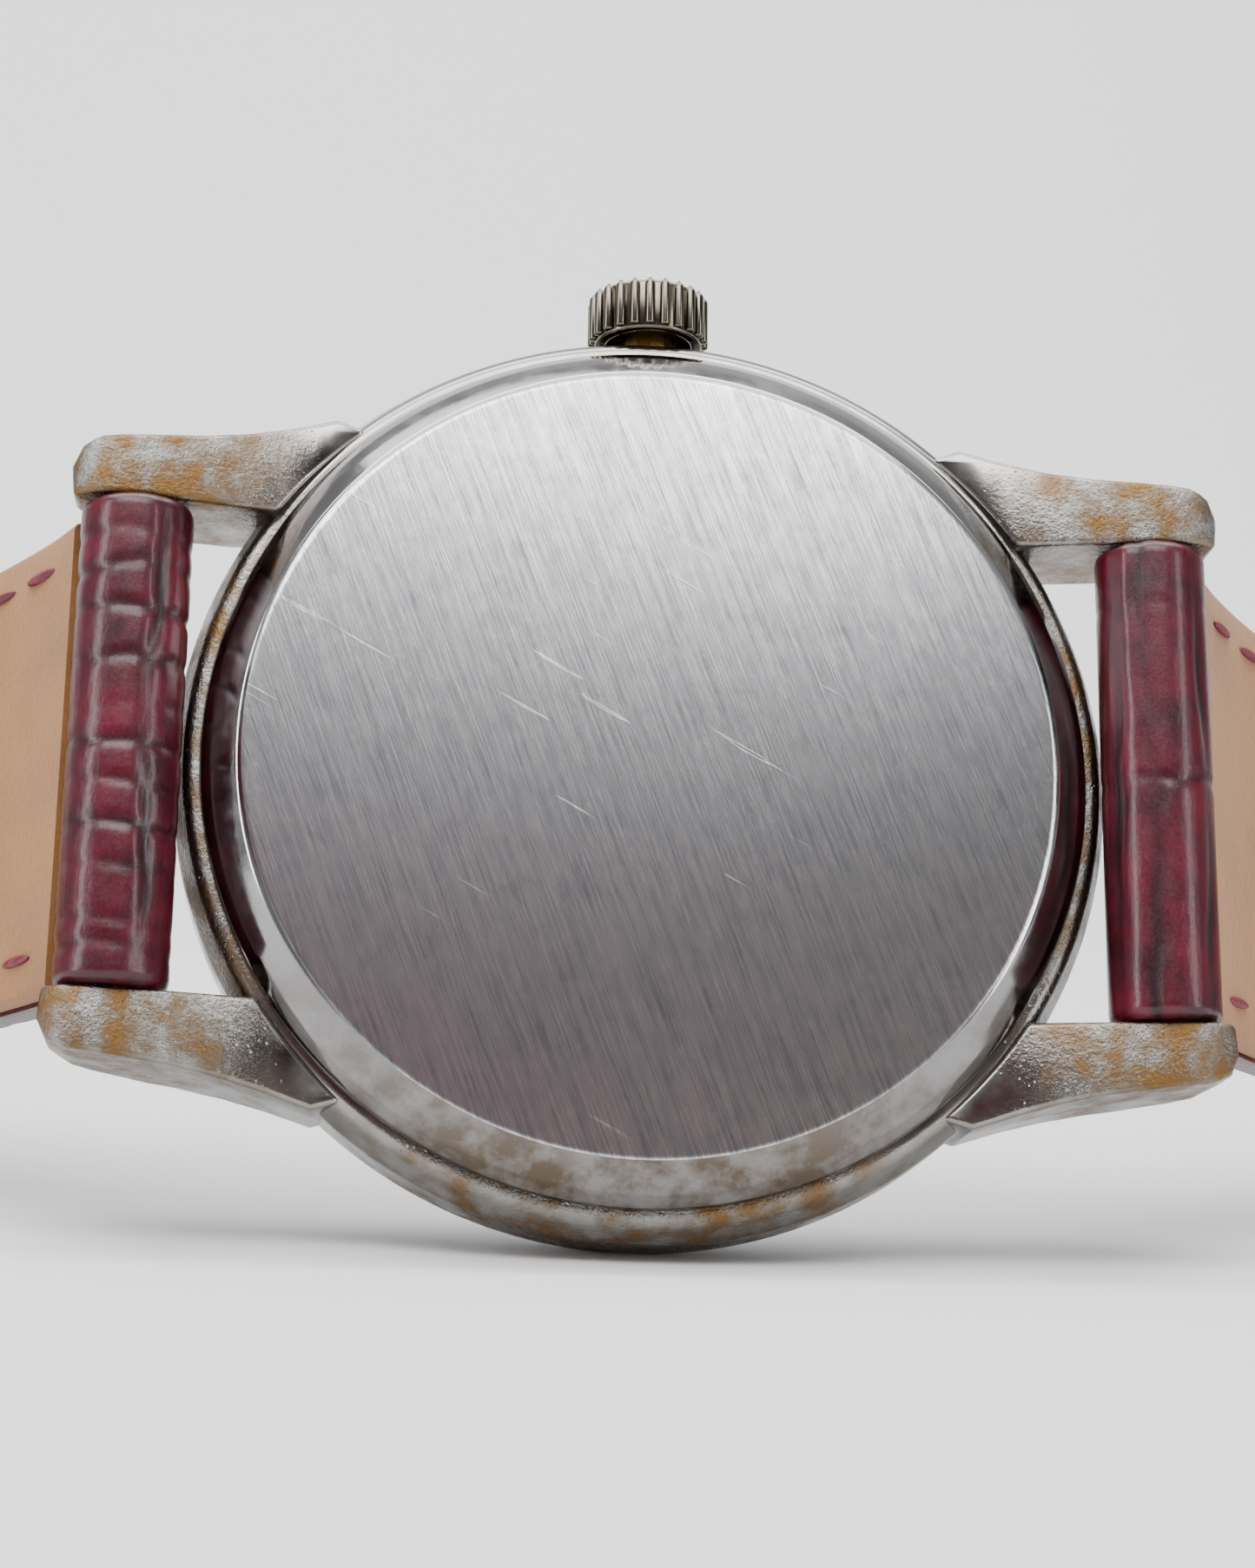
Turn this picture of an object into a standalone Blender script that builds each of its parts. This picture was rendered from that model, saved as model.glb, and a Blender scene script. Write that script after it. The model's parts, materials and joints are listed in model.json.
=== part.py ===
# A vintage hand-wound wristwatch, standing on its 9 o'clock edge and leaning back.
# Sizes are in millimetres. In the watch's own frame X points to 12 o'clock, Y runs from
# the case back towards the dial, and Z points to the crown. "Depth" is Y, from the case
# back's flat face. "Height" runs the other way, from the main plate's dial face.
import math

import bmesh
import bpy
from mathutils import Matrix, Vector

for old in list(bpy.data.objects):
    bpy.data.objects.remove(old, do_unlink=True)

mm = 0.001

# ---- driving dimensions -------------------------------------------------------------
lean = math.radians(16)

plate_radius = 12.8
holder_inner_radius = plate_radius + 0.15
holder_outer_radius = holder_inner_radius + 1.25
bore_radius = holder_outer_radius + 0.15
case_wall = 2.69
case_radius = bore_radius + case_wall
seam_depth = 1.75
case_band_depth = 5.35
shoulder_depth = 6.05
dial_opening_radius = bore_radius - 1.05
dial_seat_depth = 6.35
crystal_seat_depth = 7.0
back_flat_radius = case_radius - 2.69
back_bevel_radius = case_radius - 1.09
back_wall = 0.85
back_lip_depth = 2.7
lip_inner_radius = bore_radius + 0.4
lip_outer_radius = lip_inner_radius + 0.65
gasket_thickness = 0.28
crystal_radius = bore_radius + 0.25
crystal_edge = 0.85
crystal_dome = 2.1
crystal_wall = 0.9
bezel_top_depth = 8.0
bezel_seat_radius = crystal_radius + 0.9
bezel_radius = case_radius - 0.54
seat_gap = 0.05
case_steps = 42

lug_gap = 18.0
bar_x = case_radius + 1.63
lug_tip_x = bar_x + 2.38
bar_depth = 1.6
bar_radius = 0.75
bar_tip_radius = 0.36
bar_tip_reach = 0.9
bar_tip_travel = 0.8
bar_sleeve_end = lug_gap / 2 - bar_tip_travel - 0.3

crown_radius = 2.3
crown_flutes = 23
crown_flute_depth = 0.26
crown_bottom = case_radius + 0.13
crown_top = crown_bottom + 2.18
crown_recess_radius = 1.6
crown_recess = 1.3
crown_travel = 0.7
tube_radius = 1.05
tube_bore = 0.55
tube_inner_end = bore_radius + 1.2
tube_outer_end = case_radius + 1.06

strap_start_angle = 62.0
strap_width = 17.7
strap_end_width = 16.0
taper_length = 50.0
long_length = 112.0
short_length = 75.0
wrap_radius = 2.02
wrap_bore = 0.95
lining_thickness = 0.85
layer_gap = 0.05
inner_face = 0.6
station_step = 6.5
hole_count = 7
hole_radius = 1.0
hole_first = long_length - 52.0
hole_pitch = 6.8
keeper_gap = 0.2
keeper_room = 2.5
keeper_wall = 1.05
keeper_width = 5.0
fixed_keeper_at = short_length - 5.0
sliding_keeper_at = fixed_keeper_at - 10.0
end_wrap_radius = 1.6
end_wrap_bore = 0.85
slot_half_width = 1.7

buckle_half_width = 9.5
buckle_arm = 1.3
buckle_length = 12.2
buckle_bow = 2.2
buckle_half_thickness = 0.9
buckle_bar_radius = 0.68
buckle_hole_radius = 0.75
tongue_half_width = 1.5
tongue_ring_radius = 1.32
tongue_thickness = 0.9

plate_dial_depth = 5.1
plate_thickness = 1.0
pivot_radius = 0.12
pivot_clearance = 0.06
bridge_low = 2.5
bridge_high = 2.85
top_wheel_low = 2.92
top_wheel_high = 3.17
cock_low = 3.6
cock_high = 4.0
stem_height = 1.5
stem_radius = 0.4
lever_tip_radius = 0.13
lever_tip_at = 11.0
lever_clearance = 0.12
outer_boss_start = lever_tip_at + crown_travel + lever_tip_radius + lever_clearance
holder_back_depth = 0.95

centre_teeth = 64
centre_radius = 4.4
third_pinion_teeth = 8
third_teeth = 60
third_radius = 3.6
fourth_pinion_teeth = 8
fourth_teeth = 60
fourth_radius = 3.45
escape_pinion_teeth = 6
escape_teeth = 15
escape_radius = 2.2
escape_tooth = 0.42
barrel_teeth = 72
barrel_radius = 5.4
centre_pinion_teeth = 10
ratchet_teeth = 36
ratchet_radius = 3.6
crown_wheel_teeth = 29
cannon_teeth = 10
minute_teeth = 30
minute_radius = 1.65
minute_pinion_teeth = 8
hour_teeth = 32
hour_radius = 1.76
setting_teeth = 18
balance_radius = 4.3

dial_back_depth = 6.0
dial_thickness = 0.3
seconds_hand_depth = 6.52
hour_hand_depth = 6.8
minute_hand_depth = 7.16
hand_thickness = 0.1
hour_hand_length = 7.2
minute_hand_length = 11.2
seconds_hand_length = 2.7

# radii that follow from the tooth counts of a pair
third_pinion_radius = centre_radius * third_pinion_teeth / centre_teeth
fourth_pinion_radius = third_radius * fourth_pinion_teeth / third_teeth
escape_pinion_radius = fourth_radius * escape_pinion_teeth / fourth_teeth
centre_pinion_radius = barrel_radius * centre_pinion_teeth / barrel_teeth
crown_wheel_radius = ratchet_radius * crown_wheel_teeth / ratchet_teeth
cannon_radius = minute_radius * cannon_teeth / minute_teeth
minute_pinion_radius = hour_radius * minute_pinion_teeth / hour_teeth
setting_radius = minute_radius * setting_teeth / minute_teeth


def beside(start, distance, degrees):
    return (start[0] + distance * math.cos(math.radians(degrees)),
            start[1] + distance * math.sin(math.radians(degrees)))


# where the arbors stand, seen from the back: (X to 12 o'clock, Z to the crown)
centre_at = (0.0, 0.0)
third_at = beside(centre_at, centre_radius + third_pinion_radius, 140.3)
fourth_at = beside(third_at, third_radius + fourth_pinion_radius, 230.6)
escape_at = beside(fourth_at, fourth_radius + escape_pinion_radius, 290.0)
lever_angle = -39.6
fork_at = beside(escape_at, escape_radius / math.cos(math.radians(30)) + 0.1, lever_angle)
balance_at = beside(fork_at, 3.25, lever_angle)
barrel_at = beside(centre_at, barrel_radius + centre_pinion_radius, 20.0)
crown_wheel_at = beside(barrel_at, ratchet_radius + crown_wheel_radius, 121.3)
minute_at = beside(centre_at, cannon_radius + minute_radius, 90.0)
setting_at = beside(minute_at, minute_radius + setting_radius, 90.0)

parts = bpy.data.collections.new("wristwatch")
cutters = bpy.data.collections.new("cutters")
for each in (parts, cutters):
    bpy.context.scene.collection.children.link(each)

finishes = {
    "chrome": ((0.58, 0.57, 0.55), 0.22, 1.0),
    "steel": ((0.62, 0.62, 0.63), 0.3, 1.0),
    "brushed": ((0.55, 0.55, 0.57), 0.38, 1.0),
    "brass": ((0.72, 0.53, 0.25), 0.3, 1.0),
    "nickel": ((0.66, 0.64, 0.58), 0.35, 1.0),
    "blued": ((0.05, 0.08, 0.25), 0.25, 1.0),
    "acrylic": ((0.9, 0.92, 0.93), 0.05, 0.0),
    "dial": ((0.85, 0.82, 0.74), 0.5, 0.0),
    "rubber": ((0.03, 0.03, 0.03), 0.7, 0.0),
    "burgundy": ((0.16, 0.02, 0.03), 0.2, 0.0),
    "tan": ((0.55, 0.36, 0.2), 0.7, 0.0),
}


# ---- modelling helpers --------------------------------------------------------------
def link(name, data, collection):
    item = bpy.data.objects.new(name, data)
    collection.objects.link(item)
    return item


def empty(name, location, parent=None):
    """An axis or frame that pieces hang from, at a place in its parent's frame."""
    frame = link(name, None, parts)
    frame.location = Vector(location) * mm
    frame.parent = parent
    return frame


def turned(name, profile, steps=32):
    """A solid of revolution about Z from (radius, height) points in either direction."""
    following = profile[1:] + profile[:1]
    area = sum(a[0] * b[1] - b[0] * a[1] for a, b in zip(profile, following))
    points = profile if area < 0 else profile[::-1]
    mesh = bpy.data.meshes.new(name)
    count = len(points)
    closed = not (points[0][0] == 0 and points[-1][0] == 0)
    edges = [(i, i + 1) for i in range(count - 1)]
    if closed:
        edges.append((count - 1, 0))
    mesh.from_pydata([(r * mm, 0, z * mm) for r, z in points], edges, [])
    item = link(name, mesh, parts)
    screw = item.modifiers.new("turn", 'SCREW')
    screw.steps = screw.render_steps = steps
    screw.use_merge_vertices = True
    screw.merge_threshold = 1e-6
    screw.use_smooth_shade = False
    return item


def pin(name, radius, low, high, steps=10):
    return turned(name, [(0, high), (radius, high), (radius, low), (0, low)], steps)


def clean(mesh, weld):
    shape = bmesh.new()
    shape.from_mesh(mesh)
    bmesh.ops.remove_doubles(shape, verts=shape.verts, dist=weld)
    bmesh.ops.recalc_face_normals(shape, faces=shape.faces)
    shape.to_mesh(mesh)
    shape.free()


def flat(name, loops, low, high):
    """A flat piece from closed (x, y) outlines, inner loops being holes, between two heights."""
    curve = bpy.data.curves.new(name, 'CURVE')
    curve.dimensions = '2D'
    curve.fill_mode = 'BOTH'
    curve.extrude = (high - low) / 2
    for loop in loops:
        spline = curve.splines.new('POLY')
        spline.points.add(len(loop) - 1)
        for point, (x, y) in zip(spline.points, loop):
            point.co = (x, y, 0, 1)
        spline.use_cyclic_u = True
    outline = link(name + "_outline", curve, cutters)
    bpy.context.view_layer.update()
    seen = outline.evaluated_get(bpy.context.evaluated_depsgraph_get())
    mesh = bpy.data.meshes.new_from_object(seen)
    bpy.data.objects.remove(outline, do_unlink=True)
    mesh.transform(Matrix.Translation((0, 0, (low + high) / 2)))
    clean(mesh, 1e-4)
    mesh.transform(Matrix.Scale(mm, 4))
    mesh.name = name
    return link(name, mesh, parts)


def block(name, low_corner, high_corner):
    (x0, y0, z0), (x1, y1, z1) = low_corner, high_corner
    return flat(name, [[(x0, y0), (x1, y0), (x1, y1), (x0, y1)]], z0, z1)


def loft(name, rings):
    """A closed skin over rings of equally many points, with a flat cap on either end."""
    shape = bmesh.new()
    rows = [[shape.verts.new(Vector(point) * mm) for point in ring] for ring in rings]
    count = len(rings[0])
    for row, after in zip(rows, rows[1:]):
        for i in range(count):
            j = (i + 1) % count
            shape.faces.new((row[i], row[j], after[j], after[i]))
    shape.faces.new(rows[0][::-1])
    shape.faces.new(rows[-1])
    bmesh.ops.recalc_face_normals(shape, faces=shape.faces)
    mesh = bpy.data.meshes.new(name)
    shape.to_mesh(mesh)
    shape.free()
    return link(name, mesh, parts)


def moved(item, x=0.0, y=0.0, z=0.0, rotation=(0.0, 0.0, 0.0)):
    item.location = Vector((x, y, z)) * mm
    item.rotation_euler = rotation
    return item


def change(piece, tool, operation):
    """A live Boolean. The tool rides on the piece and waits in the cutters' collection."""
    step = piece.modifiers.new(operation.lower(), 'BOOLEAN')
    step.operation = operation
    step.solver = 'EXACT'
    step.object = tool
    tool.parent = piece
    tool.name = piece.name + "_tool"
    for holder in list(tool.users_collection):
        holder.objects.unlink(tool)
    cutters.objects.link(tool)
    tool.hide_render = True
    tool.display_type = 'WIRE'
    return piece


def join(piece, *tools):
    for tool in tools:
        change(piece, tool, 'UNION')
    return piece


def cut(piece, *tools):
    for tool in tools:
        change(piece, tool, 'DIFFERENCE')
    return piece


towards_back = (math.pi / 2, 0, 0)
upright = (0, 0, 0)


def place(piece, name, finish, at=(0, 0, 0), turn=towards_back, parent=None):
    """Names a piece, gives it its finish and sets it in the watch's frame, or a parent's."""
    piece.name = name
    piece.data.name = name
    colour, roughness, metallic = finishes[finish]
    material = bpy.data.materials.new(name)
    material.use_nodes = True
    shader = material.node_tree.nodes["Principled BSDF"]
    shader.inputs["Base Color"].default_value = (*colour, 1)
    shader.inputs["Roughness"].default_value = roughness
    shader.inputs["Metallic"].default_value = metallic
    piece.data.materials.clear()
    piece.data.materials.append(material)
    piece.parent = parent or watch
    piece.location = Vector(at) * mm
    piece.rotation_euler = turn
    return piece


def deep(profile):
    return [(radius, -depth) for radius, depth in profile]


def circle(radius, at=(0.0, 0.0), points=16):
    return [beside(at, radius, 360 * i / points) for i in range(points)]


def arc(radius, first, last, points, at=(0.0, 0.0)):
    step = (last - first) / (points - 1)
    return [beside(at, radius, first + step * i) for i in range(points)]


def capsule(start, start_radius, end, end_radius, points=6):
    """The outline round two circles of unlike size, as a cock or a lever has."""
    along = math.degrees(math.atan2(end[1] - start[1], end[0] - start[0]))
    return (arc(start_radius, along + 90, along + 270, points, start)
            + arc(end_radius, along - 90, along + 90, points, end))


def around(teeth, phase, shape):
    """Outline of a wheel that repeats (share of a pitch, radius) points for each tooth."""
    pitch = 2 * math.pi / teeth
    outline = []
    for i in range(teeth):
        for share, reach in shape:
            angle = phase + (i + share) * pitch
            outline.append((reach * math.cos(angle), reach * math.sin(angle)))
    return outline


def gear(teeth, radius, phase=0.0):
    """Fine pointed teeth, as thick at the pitch circle as a watch wheel's are."""
    module = 2 * radius / teeth
    return around(teeth, phase, ((0.0, radius + 0.8 * module), (0.5, radius - 1.1 * module)))


def windows(count, inner, outer, spoke, phase=0.0):
    """Openings between a wheel's spokes: (inner, outer) radii and the spoke's width."""
    loops = []
    for i in range(count):
        start = phase + i * 2 * math.pi / count
        end = start + 2 * math.pi / count
        loop = []
        for reach, steps, forward in ((outer, 4, True), (inner, 2, False)):
            half = spoke / 2 / reach
            angles = [start + half + (end - start - 2 * half) * j / (steps - 1)
                      for j in range(steps)]
            for angle in angles if forward else angles[::-1]:
                loop.append((reach * math.cos(angle), reach * math.sin(angle)))
        loops.append(loop)
    return loops


def heading(start, end):
    return math.atan2(end[1] - start[1], end[0] - start[0])


def mesh_phase(first_phase, first_teeth, second_teeth, direction):
    """Phase of a wheel whose tooth gap meets the first wheel's tooth along a direction."""
    return (direction + math.pi + math.pi / second_teeth
            - first_teeth / second_teeth * (first_phase - direction))


# ---- where the watch stands ----------------------------------------------------------
floor_reach = case_radius * math.cos(lean) + case_band_depth * math.sin(lean)
watch = empty("watch", (0, 0, floor_reach))
watch.rotation_euler = (-lean, 0, 0)
strap_6_axis = empty("strap_6_axis", (-bar_x, bar_depth, 0), watch)
strap_12_axis = empty("strap_12_axis", (bar_x, bar_depth, 0), watch)


# ---- case ----------------------------------------------------------------------------
def make_case_middle():
    ring = turned("ring", deep([
        (lip_outer_radius + seat_gap, seam_depth), (case_radius - 0.74, seam_depth),
        (case_radius - 0.44, seam_depth + 0.25), (case_radius, seam_depth + 1.35),
        (case_radius, case_band_depth), (case_radius - 0.3, shoulder_depth),
        (bezel_seat_radius, shoulder_depth), (bezel_seat_radius, crystal_seat_depth),
        (dial_opening_radius, crystal_seat_depth), (dial_opening_radius, dial_seat_depth),
        (bore_radius, dial_seat_depth), (bore_radius, back_lip_depth + gasket_thickness + 0.1),
        (lip_outer_radius + seat_gap, back_lip_depth + gasket_thickness + 0.1)]), case_steps)
    half = lug_gap / 2
    inside = case_radius - 0.74
    inner_arc = arc(inside, 50.0, math.degrees(math.asin(half / inside)), 5)
    quarter = inner_arc + [(lug_tip_x - 0.1, half), (lug_tip_x, half + 1.1),
                           (lug_tip_x - 0.35, half + 1.85), (lug_tip_x - 1.1, half + 2.2),
                           (bar_x - 2.27, half + 2.6), (bar_x - 5.37, half + 3.3),
                           (bar_x - 7.07, half + 3.85)]
    lugs = flat("lugs", [[(x * i, y * j) for x, y in quarter] for i in (1, -1) for j in (1, -1)],
                -6.0, 0.2)
    side = [(-9.67, 5.5), (-3.17, 5.5), (-1.07, 5.1), (0.73, 4.1), (1.93, 2.9), (2.53, 1.6),
            (2.33, 0.6), (1.63, 0.15), (0.63, 0.1), (-0.47, 0.45), (-1.77, 1.3), (-3.07, 2.2),
            (-9.67, 2.4)]
    flanks = flat("flanks", [[((bar_x + x) * i, -depth) for x, depth in side] for i in (1, -1)],
                  -half - 5, half + 5)
    change(lugs, moved(flanks, rotation=towards_back), 'INTERSECT')
    soften = lugs.modifiers.new("soften", 'BEVEL')
    soften.width = 0.28 * mm
    soften.segments = 1
    soften.limit_method = 'ANGLE'
    soften.angle_limit = math.radians(50)
    join(ring, lugs)
    for side_x in (bar_x, -bar_x):
        hole = pin("bar_hole", bar_tip_radius + pivot_clearance, -half - 1.1, half + 1.1, 8)
        cut(ring, moved(hole, side_x, 0, -bar_depth, towards_back))
    tube_hole = pin("tube_hole", tube_radius + seat_gap, bore_radius - 0.85, case_radius + 0.96, 12)
    stem_depth = plate_dial_depth - stem_height
    cut(ring, moved(tube_hole, 0, 0, -stem_depth, (-math.pi / 2, 0, 0)))
    place(ring, "case_middle", "chrome")


def make_case_back():
    inside = lip_inner_radius
    back = turned("back", deep([
        (0, 0), (back_flat_radius, 0), (back_flat_radius + 0.27, 0.11), (back_bevel_radius, 1.38),
        (back_bevel_radius + 0.1, seam_depth - seat_gap),
        (lip_outer_radius, seam_depth - seat_gap), (lip_outer_radius, back_lip_depth),
        (inside, back_lip_depth), (inside, 1.6), (inside - 0.4, back_wall), (0, back_wall)]), case_steps)
    place(back, "case_back", "brushed")


def make_gasket():
    start = back_lip_depth + seat_gap
    ring = turned("gasket", deep([
        (lip_inner_radius - 0.2, start), (lip_outer_radius, start),
        (lip_outer_radius, start + gasket_thickness - seat_gap),
        (lip_inner_radius - 0.2, start + gasket_thickness - seat_gap)]), 32)
    place(ring, "case_back_gasket", "rubber")


def make_bezel():
    inner = crystal_radius + seat_gap
    low = shoulder_depth + seat_gap
    ring = turned("bezel", deep([
        (bezel_seat_radius + seat_gap, low), (bezel_radius, low), (bezel_radius, low + 0.45),
        (bezel_radius - 1.15, bezel_top_depth - 0.1),
        (inner, bezel_top_depth), (inner, crystal_seat_depth + seat_gap),
        (bezel_seat_radius + seat_gap, crystal_seat_depth + seat_gap)]), case_steps)
    place(ring, "bezel", "chrome")


def make_crystal():
    low = crystal_seat_depth + seat_gap
    rim = low + crystal_edge
    inside = crystal_radius - 0.95

    def dome(radius, edge, rise, steps):
        points = []
        for i in range(steps + 1):
            reach = radius * (1 - i / steps)
            points.append((reach, edge + rise * (1 - (reach / radius) ** 2)))
        return points

    outer = dome(crystal_radius, rim, crystal_dome, 5)
    inner = dome(inside, low, crystal_dome + crystal_edge - crystal_wall, 4)
    shell = turned("crystal", deep(outer[::-1] + [(crystal_radius, low)] + inner), 36)
    place(shell, "crystal", "acrylic")


def make_crown():
    stem_depth = plate_dial_depth - stem_height
    tube = turned("tube", [(tube_bore, tube_outer_end), (tube_radius, tube_outer_end),
                           (tube_radius, tube_inner_end), (tube_bore, tube_inner_end)], 12)
    place(tube, "crown_tube", "brass", (0, stem_depth, 0), upright)
    groove = crown_radius - crown_flute_depth
    fluted = around(crown_flutes, 0.0, ((-0.2, crown_radius), (0.2, crown_radius),
                                        (0.36, groove), (0.64, groove)))
    crown = flat("crown", [fluted], crown_bottom, crown_top + 0.4)
    form = turned("crown_form", [
        (0, crown_top + 0.2), (1.5, crown_top), (crown_radius + 0.05, crown_top - 0.4),
        (crown_radius + 0.05, crown_bottom), (crown_recess_radius, crown_bottom),
        (crown_recess_radius, crown_bottom + crown_recess),
        (stem_radius + seat_gap, crown_bottom + crown_recess),
        (stem_radius + seat_gap, crown_top - 0.3), (0, crown_top - 0.3)], crown_flutes)
    change(crown, form, 'INTERSECT')
    place(crown, "crown", "chrome", (0, stem_depth, 0), upright)


def make_spring_bars():
    half = lug_gap / 2
    for hour, axis in (("6", strap_6_axis), ("12", strap_12_axis)):
        sleeve = bar_sleeve_end
        bar = turned("bar", [
            (0, sleeve), (bar_tip_radius + 0.05, sleeve), (bar_radius, sleeve),
            (bar_radius, -half + 0.12), (bar_tip_radius, -half + 0.1),
            (bar_tip_radius, -half - bar_tip_reach), (0, -half - bar_tip_reach)], 10)
        bore = pin("tip_bore", bar_tip_radius + pivot_clearance, sleeve - 3.0, sleeve + 1, 8)
        cut(bar, bore)
        place(bar, "spring_bar_" + hour, "steel", (0, 0, 0), upright, axis)
        tip = turned("tip", [
            (0, half + bar_tip_reach), (bar_tip_radius, half + bar_tip_reach),
            (bar_tip_radius, half - 0.15), (bar_radius - 0.05, half - 0.17),
            (bar_radius - 0.05, half - 0.27), (bar_tip_radius, half - 0.29),
            (bar_tip_radius, sleeve - 1.9), (0, sleeve - 1.9)], 8)
        place(tip, "spring_bar_" + hour + "_tip", "steel", (0, 0, 0), upright, axis)


# ---- strap ---------------------------------------------------------------------------
keeper_half = strap_end_width / 2 + keeper_gap + keeper_wall


def between(table, value):
    for (x0, y0), (x1, y1) in zip(table, table[1:]):
        if value <= x1:
            return y0 + (y1 - y0) * (value - x0) / (x1 - x0)
    return table[-1][1]


def padding(along):
    """How far the outer leather bulges beyond the strap's middle line."""
    table = [(1.25, 1.45), (2.6, 1.8), (8.0, 2.15), (30.0, 1.6), (55.0, 0.95), (112.0, 0.8)]
    return between(table, along)


def bend_radius(half_width, bulge):
    """Radius of a strap's curve that brings the edge of a piece on it to the floor."""
    reach = (floor_reach - half_width * math.cos(lean)) / math.sin(lean) - bar_depth - bulge
    return reach / (1 - math.cos(math.radians(strap_start_angle)))


long_bend = bend_radius(strap_end_width / 2 + 0.06, 0.25 * padding(taper_length))
short_bend = bend_radius(keeper_half + 0.03, padding(sliding_keeper_at) + keeper_room
                         + keeper_wall / 2)


def strap_point(side, bend, along, out=0.0):
    """A point in the strap's section, by length along the strap and distance to the lining."""
    start = math.radians(strap_start_angle)
    angle = start - along / bend
    x = bend * (math.sin(start) - math.sin(angle)) + out * math.sin(angle)
    y = bend * (math.cos(angle) - math.cos(start)) - out * math.cos(angle)
    return side * x, y


def strap_angle(bend, along):
    return math.radians(strap_start_angle) - along / bend


def half_width(along, length, pointed):
    wide = between([(0, strap_width / 2), (taper_length, strap_end_width / 2)], along)
    left = length - along
    if pointed and left < 10.0:
        tip = [(0, 1.6), (1.2, 3.6), (3.2, 5.6), (6.0, 7.2), (10.0, strap_end_width / 2)]
        wide = min(wide, between(tip, left))
    return wide


def stations(first, last, pointed):
    """Lengths along a strap that its two layers share, so that they curve alike."""
    ends = (10.0, 6.0, 3.2, 1.2, 0.0) if pointed else (0.0,)
    count = math.floor((last - ends[0] - 1) / station_step)
    return [first] + [station_step * (i + 1) for i in range(count)] + [last - left for left in ends]


def strap_band(name, side, bend, places, section):
    rings = []
    for along in places:
        rings.append([(*strap_point(side, bend, along, out), z) for out, z in section(along)])
    return loft(name, rings)


def along_strap(side, bend, along):
    """The frame of a strap's station: X to the lining, Y across it, Z along the strap."""
    angle = strap_angle(bend, along)
    to_lining = Vector((side * math.sin(angle), -math.cos(angle), 0))
    forward = Vector((side * math.cos(angle), math.sin(angle), 0))
    across = forward.cross(to_lining)
    frame = Matrix((to_lining, across, forward)).transposed().to_4x4()
    x, y = strap_point(side, bend, along)
    return Matrix.Translation(Vector((x, y, 0)) * mm) @ frame


def make_strap(hour, side, bend, length, axis):
    pointed = hour == "6"
    lining_start = 2.15
    lining_end = length if pointed else length - end_wrap_radius - 0.25
    outer_low = inner_face
    lining_low = inner_face + layer_gap

    def outer_section(along):
        wide, thick = half_width(along, length, pointed), padding(along)
        return [(outer_low, -wide), (outer_low, wide), (-0.25 * thick, wide),
                (-0.8 * thick, 0.88 * wide), (-thick, 0.45 * wide), (-thick, -0.45 * wide),
                (-0.8 * thick, -0.88 * wide), (-0.25 * thick, -wide)]

    def lining_section(along):
        wide = half_width(along, length, pointed) - 0.15
        top = lining_low + lining_thickness
        return [(lining_low, -wide), (lining_low, wide), (top - 0.25, wide), (top, wide - 0.35),
                (top, 0.35 - wide), (top - 0.25, -wide)]

    outer_stations = stations(1.25, lining_end, pointed) + ([] if pointed else [length])
    outer = strap_band("outer", side, bend, outer_stations, outer_section)
    lining = strap_band("lining", side, bend, stations(lining_start, lining_end, pointed),
                        lining_section)
    half = strap_width / 2
    join(outer, pin("wrap", wrap_radius, -half, half, 20))
    if pointed:
        for i in range(hole_count):
            at = along_strap(side, bend, hole_first + i * hole_pitch)
            for layer in (outer, lining):
                hole = pin("hole", hole_radius, -4, 4, 8)
                cut(layer, hole)
                hole.matrix_local = at @ Matrix.Rotation(math.pi / 2, 4, 'Y')
    else:
        x, y = strap_point(side, bend, length)
        end_half = strap_end_width / 2
        join(outer, moved(pin("end_wrap", end_wrap_radius, -end_half, end_half, 14), x, y))
        cut(outer, moved(pin("end_bore", end_wrap_bore, -half, half, 10), x, y))
        for layer in (outer, lining):
            slot = block("slot", (-4, -slot_half_width, -5.0), (4, slot_half_width, 4.0))
            cut(layer, slot)
            slot.matrix_local = along_strap(side, bend, length)
    cut(outer, pin("wrap_hole", wrap_bore, -half - 1, half + 1, 12))
    place(outer, "strap_" + hour + "_outer", "burgundy", (0, 0, 0), upright, axis)
    place(lining, "strap_" + hour + "_lining", "tan", (0, 0, 0), upright, axis)


def make_keeper(name, along, parent, origin):
    thick = padding(along)
    back = inner_face + layer_gap + lining_thickness + keeper_gap
    front = thick + keeper_room
    half = strap_end_width / 2 + keeper_gap
    inner = [(-front, -half), (back, -half), (back, half), (-front, half)]
    wall = keeper_wall
    outer = [(-front - wall, 0.4 - half), (-front - 0.5 * wall, -half - wall),
             (back + 0.5 * wall, -half - wall), (back + wall, 0.4 - half),
             (back + wall, half - 0.4), (back + 0.5 * wall, half + wall),
             (-front - 0.5 * wall, half + wall), (-front - wall, half - 0.4)]
    loop = flat(name, [outer, inner], -keeper_width / 2, keeper_width / 2)
    loop.data.transform(along_strap(1, short_bend, along))
    loop.data.transform(Matrix.Translation(Vector(origin) * -mm))
    place(loop, name, "burgundy", (0, 0, 0), upright, parent)


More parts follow.
